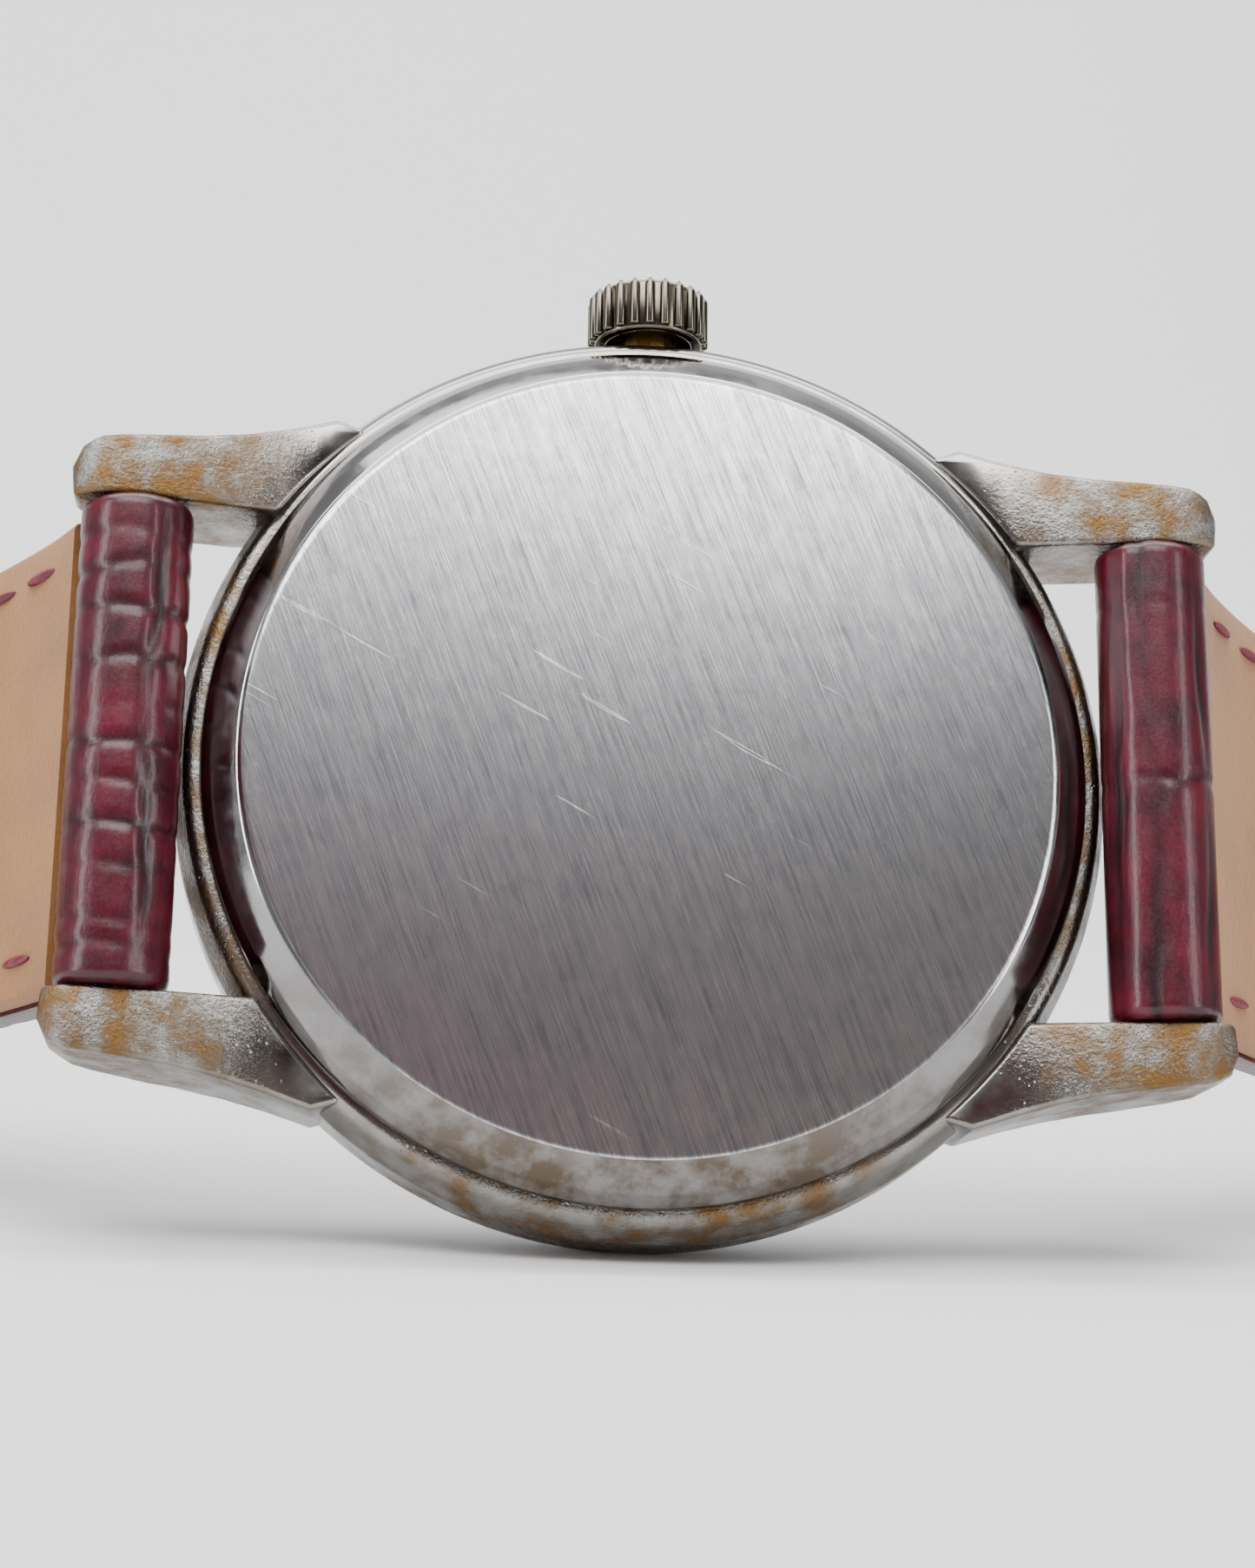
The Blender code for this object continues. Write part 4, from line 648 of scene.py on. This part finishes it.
def scales(s, z, cellS, cellZ, seed):
    # Depth of the stamped groove, 0 to 1, from the border between jittered cells.
    rng = np.random.default_rng(seed)
    jitter = rng.random((64, 64, 2)) * 0.7 + 0.15
    gs, gz = s / cellS, z / cellZ + 20
    best = np.full(s.shape, 9.0)
    second = np.full(s.shape, 9.0)
    for i in (-1, 0, 1):
        for j in (-1, 0, 1):
            a, b = np.floor(gs).astype(int) + i, np.floor(gz).astype(int) + j
            centre = jitter[a % 64, b % 64]
            gap = np.hypot((a + centre[..., 0] - gs) * 0.75, b + centre[..., 1] - gz)
            second = np.where(gap < best, best, np.minimum(second, gap))
            best = np.minimum(best, gap)
    border = np.clip((second - best) / 0.16, 0, 1)
    return 1 - border * border * (3 - 2 * border)


def creases(s, z, pattern, seed):
    # Grooves round the bar at a rough spacing, and single creases along it, each with a slow wander.
    rng = np.random.default_rng(seed)
    made = np.zeros(s.shape)
    lines, at = [], -9.2
    while at < 9.2:
        lines.append((s, z, at, rng.uniform(0.3, 0.9), 0.2))
        at += pattern["across"] * rng.uniform(0.7, 1.35)
    lines += [(z, s, place, 1.0, 0.26) for place in pattern["along"]]
    for run, line, at, strength, width in lines:
        wander = (0.2 * np.sin(run * rng.uniform(0.25, 0.6) + rng.uniform(0, 6))
                  + 0.06 * np.sin(run * rng.uniform(1.2, 2.4) + at))
        fade = 0.65 + 0.35 * np.sin(run * rng.uniform(0.3, 0.9) + rng.uniform(0, 6))
        made = np.maximum(made, strength * fade * np.exp(-((line - at - wander) / width) ** 2))
    return made


def paddedStrap(side, pattern, depth, seed):
    # The outer leather as one skin: round the spring bar, along the strap and back inside.
    s = strap
    length = s["long"] if side < 0 else s["short"]
    across = np.linspace(-1, 1, 97)
    first = math.asin(s["innerFace"] / s["wrap"])
    sweep = np.linspace(first, 1.5 * math.pi, 44)
    near = [0.25, 0.5, 0.75, 1.0, 1.3, 1.6, 1.9, 2.2, 2.6, 3.0, 3.4]
    ends = [length - e for e in (pointEnds if side < 0 else [1.5, 0.8, 0.0])]
    along = near + list(np.arange(3.85, ends[0] - 0.3, 0.45)) + ends
    lengths = np.array([s["wrap"] * (a - first) for a in sweep]
                       + [s["wrap"] * (sweep[-1] - first) + a for a in along])
    run = lengths[:, None] + 0 * across[None, :]
    sideways = across[None, :] * s["wide"] / 2 + 0 * lengths[:, None]
    blend = np.clip((run - 8.5) / 3.0, 0, 1)
    grooves = ((1 - blend) * creases(run, sideways, pattern, seed)
               + blend * scales(run, sideways, 5.4, 3.4, seed))
    points, values = [], []
    for j, v in enumerate(across):
        skin, inside = [], []
        rim = s["wrap"] - 0.3 * max(0.0, (abs(v) - 0.965) / 0.035) ** 2
        for i, angle in enumerate(sweep):
            reach = rim - depth * grooves[i, j]
            skin.append((reach * math.cos(angle), reach * math.sin(angle)))
            inside.append((s["bore"] * math.cos(angle), s["bore"] * math.sin(angle)))
        for i, a in enumerate(along):
            circle = math.sqrt(max(0.0, rim ** 2 - a * a))
            pad = padding(a) * crowned(v)
            top = max(circle, pad) + 0.08 * math.exp(-((circle - pad) / 0.3) ** 2)
            fade = 1.0 if a < length - 2 else 0.3
            skin.append((a, -(top - depth * fade * grooves[len(sweep) + i, j])))
            if a < 1.95:
                turn = 1.5 * math.pi + a / 1.95 * (math.pi / 2 + first)
                inside.append((s["bore"] * math.cos(turn), s["bore"] * math.sin(turn)))
            else:
                inside.append((a, s["innerFace"]))
        for a, out in skin + inside[::-1]:
            points.append((*strapPoint(side, a, out), v * halfWidth(max(a, 0), side)))
        values += [*grooves[:, j], *[0.0] * len(inside)]
    count, rows = len(skin), len(across)
    around = 2 * count
    faces = skinFaces(rows, around)
    for first in (0, (rows - 1) * around):
        last = first + around - 1
        for i in range(count - 1):
            faces.append((first + i, first + i + 1, last - 1 - i, last - i))
    mesh = bpy.data.meshes.new("outer")
    mesh.from_pydata(points, [], faces)
    # groove depth per point, zero on the inside, kept for the painted shade in the leather's grooves and
    # creases
    mesh.attributes.new("groove", 'FLOAT', 'POINT').data.foreach_set("value", np.array(values, np.float32))
    return cleaned(mesh, None)


def liningMesh(side):
    # The lining: a flat strip with a rolled edge, laid along the same curve.
    s = strap
    end = s["long"] if side < 0 else s["short"] - 1.85
    tip = [end - e for e in (pointEnds if side < 0 else [0.6, 0.0])]
    along = list(np.arange(2.15, tip[0] - 0.3, 0.9)) + tip
    low, top = s["liningLow"], s["liningTop"]
    points = []
    for a in along:
        wide = halfWidth(a, side) - 0.15
        section = [(low, -wide), (low, wide), (top - 0.3, wide), (top - 0.1, wide - 0.08), (top, wide - 0.3)]
        section += [(top - 0.02 * math.sin(math.pi * (i / 8)), (wide - 0.3) * (1 - 2 * i / 8))
                    for i in range(1, 8)]
        section += [(top, 0.3 - wide), (top - 0.1, 0.08 - wide), (top - 0.3, -wide)]
        points += [(*strapPoint(side, a, out), z) for out, z in section]
    count = len(section)
    faces = skinFaces(len(along), count)
    faces.append(tuple(range(count))[::-1])
    faces.append(tuple(range(len(points) - count, len(points))))
    return meshFrom(points, faces)


def strapHole(side, along, radius=1.0):
    # A punch through the strap, square to it at a length along it.
    angle = turnAt(side, along)
    x, y = strapPoint(side, along, 0)
    out = Vector((side * math.sin(angle), -math.cos(angle), 0))
    punch = rod(radius, -4, 4)
    punch.transform(Matrix.Translation((x, y, 0)) @ out.to_track_quat('Z', 'Y').to_matrix().to_4x4())
    return punch


def slotCutter(side, along):
    # The gap for the buckle's tongue, 3.4 mm wide, open at the bar.
    corners = []
    for a in (along - 5.0, along + 4.0):
        for out in (-4, 4):
            corners += [(*strapPoint(side, a, out), z) for z in (-1.7, 1.7)]
    return meshFrom(corners, [(0, 1, 3, 2), (4, 5, 7, 6), (0, 1, 5, 4),
                              (2, 3, 7, 6), (0, 2, 6, 4), (1, 3, 7, 5)])


def makeStraps():
    settings = {-1: ("strap_6", {"across": 1.5, "along": [5.8]}, 0.12, 11),
                1: ("strap_12", {"across": 7.5, "along": [3.2, 5.6, 6.9]}, 0.14, 5)}
    for side, (body, pattern, depth, seed) in settings.items():
        outer = paddedStrap(side, pattern, depth, seed)
        lining = liningMesh(side)
        if side < 0:
            cuts = [strapHole(side, strap["firstHole"] + strap["holePitch"] * i)
                    for i in range(strap["holes"])]
        else:
            x, y = strapPoint(1, strap["short"], 0)
            half = strap["endWide"] / 2
            wrap = rod(strap["endWrap"], -half, half, 40, 0.2)
            bore = rod(strap["endBore"], -half - 1, half + 1)
            for each in (wrap, bore):
                each.transform(Matrix.Translation((x, y, 0)))
            outer = combined(outer, [wrap], 'UNION')
            outer = combined(outer, [bore], 'DIFFERENCE')
            cuts = [slotCutter(1, strap["short"])]
        outer = combined(outer, [cut.copy() for cut in cuts], 'DIFFERENCE')
        lining = combined(lining, cuts, 'DIFFERENCE')
        finishPiece(body + "PaddedLeather", outer, burgundy, body, [body + "_outer"], 50)
        finishPiece(body + "LiningLeather", lining, tan, body, [body + "_lining"], 40)
        print(body, "leather made")


makeStraps()

stitches = {"Pitch": 3.1, "Half length": 1.05, "Thickness": 0.2, "Seed": 3}
stitchInset = 1.5


def stitchTree():
    add, given, out, recipe = groupWithInputs("strapStitches", stitches)
    points = add("GeometryNodeResampleCurve", {"Curve": given["Geometry"], "Length": given["Pitch"]},
                 mode='LENGTH')
    bead = add("GeometryNodeMeshUVSphere", {"Segments": 8, "Rings": 6, "Radius": 1.0})
    thick = given["Thickness"]
    size = add("ShaderNodeCombineXYZ", {0: thick, 1: thick, 2: given["Half length"]})
    tangent = add("GeometryNodeInputTangent")
    turn = add("FunctionNodeAlignRotationToVector", {"Vector": tangent.outputs[0]}, axis='Z')
    wobble = add("FunctionNodeRandomValue", {
        0: (-0.07, -0.07, -0.07), 1: (0.07, 0.07, 0.07), "Seed": given["Seed"]}, data_type='FLOAT_VECTOR')
    tilt = add("FunctionNodeRotateRotation", {0: turn.outputs[0], 1: wobble.outputs[0]})
    each = add("GeometryNodeInstanceOnPoints", {
        "Points": points.outputs[0], "Instance": bead.outputs["Mesh"], "Rotation": tilt.outputs[0],
        "Scale": size.outputs[0]})
    endTree(add, out, each.outputs[0], stitchThread)
    return recipe


def makeStitches():
    recipe = stitchTree()
    for side, body in ((-1, "strap_6"), (1, "strap_12")):
        end = strap["long"] - 4 if side < 0 else strap["short"] - 6
        curve = bpy.data.curves.new("rows", 'CURVE')
        curve.dimensions = '3D'
        for edge in (-1, 1):
            for face in ("lining", "outer"):
                route = []
                for a in np.arange(4.6, end, 1.5):
                    z = edge * (halfWidth(a, side) - stitchInset)
                    if face == "lining":
                        out = strap["liningTop"] + 0.02
                    else:
                        v = abs(z) / halfWidth(a, side)
                        out = -padding(a) * crowned(v) - 0.02
                    route.append((*strapPoint(side, a, out), z))
                spline = curve.splines.new('POLY')
                spline.points.add(len(route) - 1)
                for point, at in zip(spline.points, route):
                    point.co = (*at, 1)
        mesh = grown(recipe, stitches, curve)
        finishPiece(body + "Stitches", mesh, stitchThread, body, (), 60)


makeStitches()
print("stitches made")

keeper = {"room": 2.5, "wall": 1.05, "width": 5.0, "gap": 0.2, "round": 0.5}


def makeKeeper(name, node, along, body):
    k = keeper
    front = padding(along) + k["room"]
    back = strap["liningTop"] + k["gap"]
    half = strap["endWide"] / 2 + k["gap"]
    bend = turnAt(1, along)
    # the section follows a rounded rectangle round the strap
    corners = [(-front, -half), (back, -half), (back, half), (-front, half)]
    path = [Vector(at) for at in rounded(corners, k["round"], 6)]
    section = []
    for i in range(24):
        angle = 2 * math.pi * i / 24
        section.append((0.5 * k["wall"] * (1 + math.copysign(abs(math.cos(angle)) ** 0.5, math.cos(angle))),
                        0.5 * k["width"] * math.copysign(abs(math.sin(angle)) ** 0.28, math.sin(angle))))
    points = []
    middle = Vector((*strapPoint(1, along, 0), 0))
    toLining = Vector((math.sin(bend), -math.cos(bend), 0))
    forward = Vector((math.cos(bend), math.sin(bend), 0))
    count = len(path)
    for i, at in enumerate(path):
        run = (path[(i + 1) % count] - path[i - 1]).normalized()
        normal = Vector((run.y, -run.x))
        for away, width in section:
            spot = at + normal * away
            points.append(middle + toLining * spot.x + Vector((0, 0, spot.y)) + forward * width)
    faces = skinFaces(count, len(section), True)
    finishPiece(name, meshFrom(points, faces), burgundy, body, [node], 60)


makeKeeper("slidingLeatherKeeper", "sliding_keeper", 60.0, "keeper")
makeKeeper("fixedLeatherKeeper", "fixed_keeper", 70.0, "strap_12")
print("keepers made")

# movement: the CAD wheels and plates get their finishes
finishes = {
    nickelPlate: ("barrel_bridge", "train_bridge", "pallet_cock", "balance_cock"),
    mainPlateFinish: ("main_plate",),
    giltBrass: ("barrel", "center_wheel", "third_wheel", "fourth_wheel", "balance_wheel", "minute_wheel",
                "hour_wheel", "movement_ring", "crown_tube"),
    hardSteel: ("barrel_arbor", "ratchet_wheel", "crown_wheel", "click", "escape_wheel", "pallet_fork",
                "winding_stem", "winding_pinion", "sliding_clutch", "setting_lever", "setting_wheel", "yoke",
                "cannon_pinion", *[name for name in nodes if "spring_bar" in name]),
    bluedSteel: ("crown_wheel_core", "hour_hand", "minute_hand", "seconds_hand",
                 *[name for name in nodes if "screw" in name]),
    bezelChrome: ("buckle_frame", "buckle_tongue"),
    rubber: ("case_back_gasket",),
}
for finish, names in finishes.items():
    for name in names:
        nodes[name].data.materials.clear()
        nodes[name].data.materials.append(finish)

coilSizes = {"Turns": 12.0, "First radius": 0.46, "Last radius": 3.05, "Thickness": 0.09, "Height": 0.16}
coilHeight = 3.4
plateDepth = 5.1


def makeHairspring():
    # The flat ribbon of the hairspring, wound by Geometry Nodes. Its turns are drawn thicker than
    # the real 0.03 mm, so that they show.
    add, given, out, recipe = groupWithInputs("hairspringCoil", coilSizes)
    spiral = add("GeometryNodeCurveSpiral", {
        "Resolution": 48, "Rotations": given["Turns"], "Start Radius": given["First radius"],
        "End Radius": given["Last radius"], "Height": 0.0})
    section = add("GeometryNodeCurvePrimitiveQuadrilateral", {
        "Width": given["Thickness"], "Height": given["Height"]})
    ribbon = add("GeometryNodeCurveToMesh", {
        "Curve": spiral, "Profile Curve": section, "Fill Caps": True})
    endTree(add, out, ribbon.outputs[0], bluedSteel)
    coil = grown(recipe, coilSizes)
    pivot = [j for j in frame["record"]["behaviour"]["joints"] if j["name"] == "balance_swing"][0]["pos_m"]
    centre = watchFrame.inverted() @ Vector(pivot)
    coil.transform(Matrix.Translation((centre.x, plateDepth - coilHeight, centre.z))
                   @ Matrix.Rotation(math.radians(90), 4, 'X'))
    finishPiece("hairspringCoil", coil, bluedSteel, "case", ["hairspring"], 50)


makeHairspring()

jewels = {"outer": 0.42, "bore": 0.13, "height": 0.12,
          "places": [((-3.808, 3.162), 2.85), ((-6.398, 0.009), 2.85)]}


def makeJewels(s):
    # A cup-shaped ruby at each train pivot, set in the bridge's outer face.
    for i, ((x, z), height) in enumerate(s["places"]):
        top = plateDepth - height
        profile = [(s["bore"], top - 0.02), (s["outer"], top - 0.02), (s["outer"], top - s["height"]),
                   (s["bore"] + 0.1, top - s["height"])]
        mesh = spun(rounded(profile, 0.04), 32)
        mesh.transform(Matrix.Translation((x, 0, z)))
        finishPiece("trainJewel%d" % (i + 1), mesh, jewelRuby, "case", (), 40)


makeJewels(jewels)
print("movement finished")

# dial: lacquered disc, printed track, numbers and a small seconds ring
dial = {"radius": 14.2, "face": 6.3, "track": 12.1, "numbers": 9.6, "seconds": (-6.398, 0.009), "ring": 3.1}


def dialPrint(marks):
    # Printed marks, set round the dial by Geometry Nodes.
    add, given, out, recipe = groupWithInputs("minuteTrack", marks)
    circle = add("GeometryNodeMeshCircle", {"Vertices": given["Marks"], "Radius": given["Radius"]})
    size = add("ShaderNodeCombineXYZ", {0: given["Length"], 1: given["Width"], 2: 0.03})
    mark = add("GeometryNodeMeshCube", {"Size": size.outputs[0]})
    place = add("GeometryNodeInputPosition")
    turn = add("FunctionNodeAlignRotationToVector", {"Vector": place.outputs[0]}, axis='X')
    each = add("GeometryNodeInstanceOnPoints", {
        "Points": circle.outputs[0], "Instance": mark.outputs[0], "Rotation": turn.outputs[0]})
    endTree(add, out, each.outputs[0], dialInk)
    return recipe


def layOnDial(mesh, at=(0.0, 0.0)):
    # Turns print that was drawn in x, y so that 12 o'clock is up, and lays it on the dial.
    mesh.transform(Matrix(((0, 1, 0, at[0]), (0, 0, 1, dial["face"] + 0.01), (1, 0, 0, at[1]), (0, 0, 0, 1))))
    return mesh


def makeDial(s):
    face = s["face"]
    holes = [ring(0.85, count=32), ring(0.3, s["seconds"], 24)]
    disc = extruded([ring(s["radius"], count=144), *holes], face - 0.3, face)
    finishPiece("dialDisc", disc, dialLacquer, "case", ["dial"], 40)
    minutes = {"Marks": 60, "Radius": s["track"], "Length": 0.8, "Width": 0.1}
    seconds = {"Marks": 12, "Radius": s["ring"] - 0.3, "Length": 0.45, "Width": 0.07}
    recipe = dialPrint(minutes)
    edge = extruded([ring(radius, s["seconds"], 64) for radius in (s["ring"], s["ring"] - 0.07)],
                    face, face + 0.03)
    for name, mesh in (("minuteTrack", layOnDial(grown(recipe, minutes))),
                       ("secondsMarks", layOnDial(grown(recipe, seconds), s["seconds"])),
                       ("secondsRing", edge)):
        finishPiece(name, mesh, dialInk, "case")
    for hour in range(1, 13):
        angle = math.radians(30 * hour)
        x, z = s["numbers"] * math.cos(angle), s["numbers"] * math.sin(angle)
        if hour % 2 or hour == 6:
            if hour in (5, 6, 7):
                continue
            bar = extruded([[(-1.1, -0.17), (1.1, -0.17), (1.1, 0.17), (-1.1, 0.17)]], face, face + 0.15, 0.04)
            bar.transform(Matrix.Translation((x, 0, z)) @ Matrix.Rotation(-angle, 4, 'Y'))
            finishPiece("hourBaton%d" % hour, bar, bezelChrome, "case")
        else:
            words = bpy.data.curves.new("number", 'FONT')
            words.body, words.size, words.extrude = str(hour), 2.6, 0.012
            words.align_x = words.align_y = 'CENTER'
            number = plain(bpy.data.objects.new("number", words))
            finishPiece("hourNumber%d" % hour, layOnDial(number, (x, z)), dialInk, "case")


makeDial(dial)
print("dial made")

# floor, light and camera
stageSettings = {"floor": "#d5d6d7", "curveStart": 0.25, "curveRadius": 0.25, "height": 2.4,
                 "reach": 15.0, "near": 0.7, "far": 1.8, "farFloor": "#fbfbfb"}


def makeFloor(s):
    profile = [(-s["reach"], 0.0)]
    profile += [(s["curveStart"] + s["curveRadius"] * math.sin(a), s["curveRadius"] * (1 - math.cos(a)))
                for a in np.linspace(0, math.pi / 2, 24)]
    profile.append((s["curveStart"] + s["curveRadius"], s["height"]))
    points = [(x, y, z) for x in (-s["reach"], s["reach"]) for y, z in profile]
    count = len(profile)
    faces = [(i, i + 1, count + i + 1, count + i) for i in range(count - 1)]
    mesh = bpy.data.meshes.new("floor")
    mesh.from_pydata(points, [], faces)
    for face in mesh.polygons:
        face.use_smooth = True
    floor = linked(bpy.data.objects.new("paperFloor", mesh))
    material = bpy.data.materials.new("matPaper")
    material.use_nodes = True
    shader = material.node_tree.nodes["Principled BSDF"]
    # Far from the watch, where the lamps don't reach, the paper gets lighter and meets the room's tone.
    paper = functools.partial(addNode, material.node_tree)
    place = paper("ShaderNodeTexCoord").outputs["Object"]
    away = paper("ShaderNodeVectorMath", {0: place}, operation='LENGTH')
    far = paper("ShaderNodeMapRange", {0: away.outputs[1], 1: s["near"], 2: s["far"]})
    feed(shader, {
        "Base Color": paper(mixKind, {0: far, 6: s["floor"], 7: s["farFloor"]}, data_type='RGBA'),
        "Roughness": 0.9})
    mesh.materials.append(material)


makeFloor(stageSettings)

lights = {"overheadFront": {"at": (-0.06, -0.28, 0.42), "aim": (0, 0, 0.01), "size": (0.5, 0.2),
                            "power": 3.0},
          "fillLeft": {"at": (-0.5, -0.2, 0.2), "aim": (0, 0, 0.02), "size": (0.1, 0.4), "power": 1.6},
          "fillRight": {"at": (0.4, -0.3, 0.12), "aim": (0, 0, 0.02), "size": (0.08, 0.4), "power": 1.0},
          "top": {"at": (0.0, 0.05, 0.6), "aim": (0, 0.05, 0), "size": (0.7, 0.5), "power": 4.4},
          "backdrop": {"at": (0.0, 0.1, 0.55), "aim": (0, 0.5, 0.15), "size": (0.9, 0.2), "power": 3.8}}
for name, light in lights.items():
    lamp = bpy.data.lights.new(name, 'AREA')
    lamp.shape = 'RECTANGLE'
    lamp.size, lamp.size_y = light["size"]
    lamp.energy = light["power"]
    holder = linked(bpy.data.objects.new(name, lamp))
    holder.location = light["at"]
    holder.rotation_euler = (Vector(light["aim"]) - Vector(light["at"])).to_track_quat('-Z', 'Y').to_euler()

# The room round the watch, by height on its left and right: pale as the paper at the floor, then
# warm, dark at the middle and bright above.
roomLeft = [(0.0, "#cbcbcc"), (0.22, "#cbcbcc"), (0.3, "#8d5660"), (0.46, "#8a5560"), (0.54, "#909197"),
            (0.66, "#f0f0f1"), (1.0, "#eeeff0")]
roomRight = [(0.0, "#cbcbcc"), (0.22, "#cbcbcc"), (0.3, "#a98f88"), (0.43, "#93807b"), (0.49, "#171b28"),
             (0.56, "#2c303c"), (0.66, "#f2f3f4"), (1.0, "#eeeff0")]
world = bpy.data.worlds.new("studio")
world.use_nodes = True
sky = functools.partial(addNode, world.node_tree)
direction = sky("ShaderNodeSeparateXYZ", {0: sky("ShaderNodeTexCoord").outputs["Generated"]})
sides = [sky(rampKind, {"Fac": direction.outputs[2]}, [(at, tone) for at, tone in room])
         for room in (roomLeft, roomRight)]
acrossRoom = sky("ShaderNodeMapRange", {0: direction.outputs[0], 1: -0.04, 2: 0.16})
feed(world.node_tree.nodes["Background"], {
    "Color": sky(mixKind, {0: acrossRoom, 6: sides[0], 7: sides[1]}, data_type='RGBA'), "Strength": 0.72})
bpy.context.scene.world = world

# the camera, fitted to the strap corners, the flat back and the case outline in the photo
lens = bpy.data.cameras.new("camera")
lens.sensor_fit = 'AUTO'
lens.sensor_width = 36
lens.lens = 71.44
lens.clip_start, lens.clip_end = 0.005, 20
camera = linked(bpy.data.objects.new("camera", lens))
turn = watchTurn.to_3x3()
right, up, ahead = (turn @ Vector(v) for v in (
    (0.99501, -0.09902, 0.01229), (-0.03942, -0.27700, 0.96006), (0.09166, 0.95575, 0.27953)))
axes = Matrix((right, up, -ahead)).transposed().to_4x4()
camera.matrix_world = Matrix.Translation(watchFrame @ Vector((-10.991, -105.133, -31.923))) @ axes
bpy.context.scene.camera = camera
print("stage and camera set")
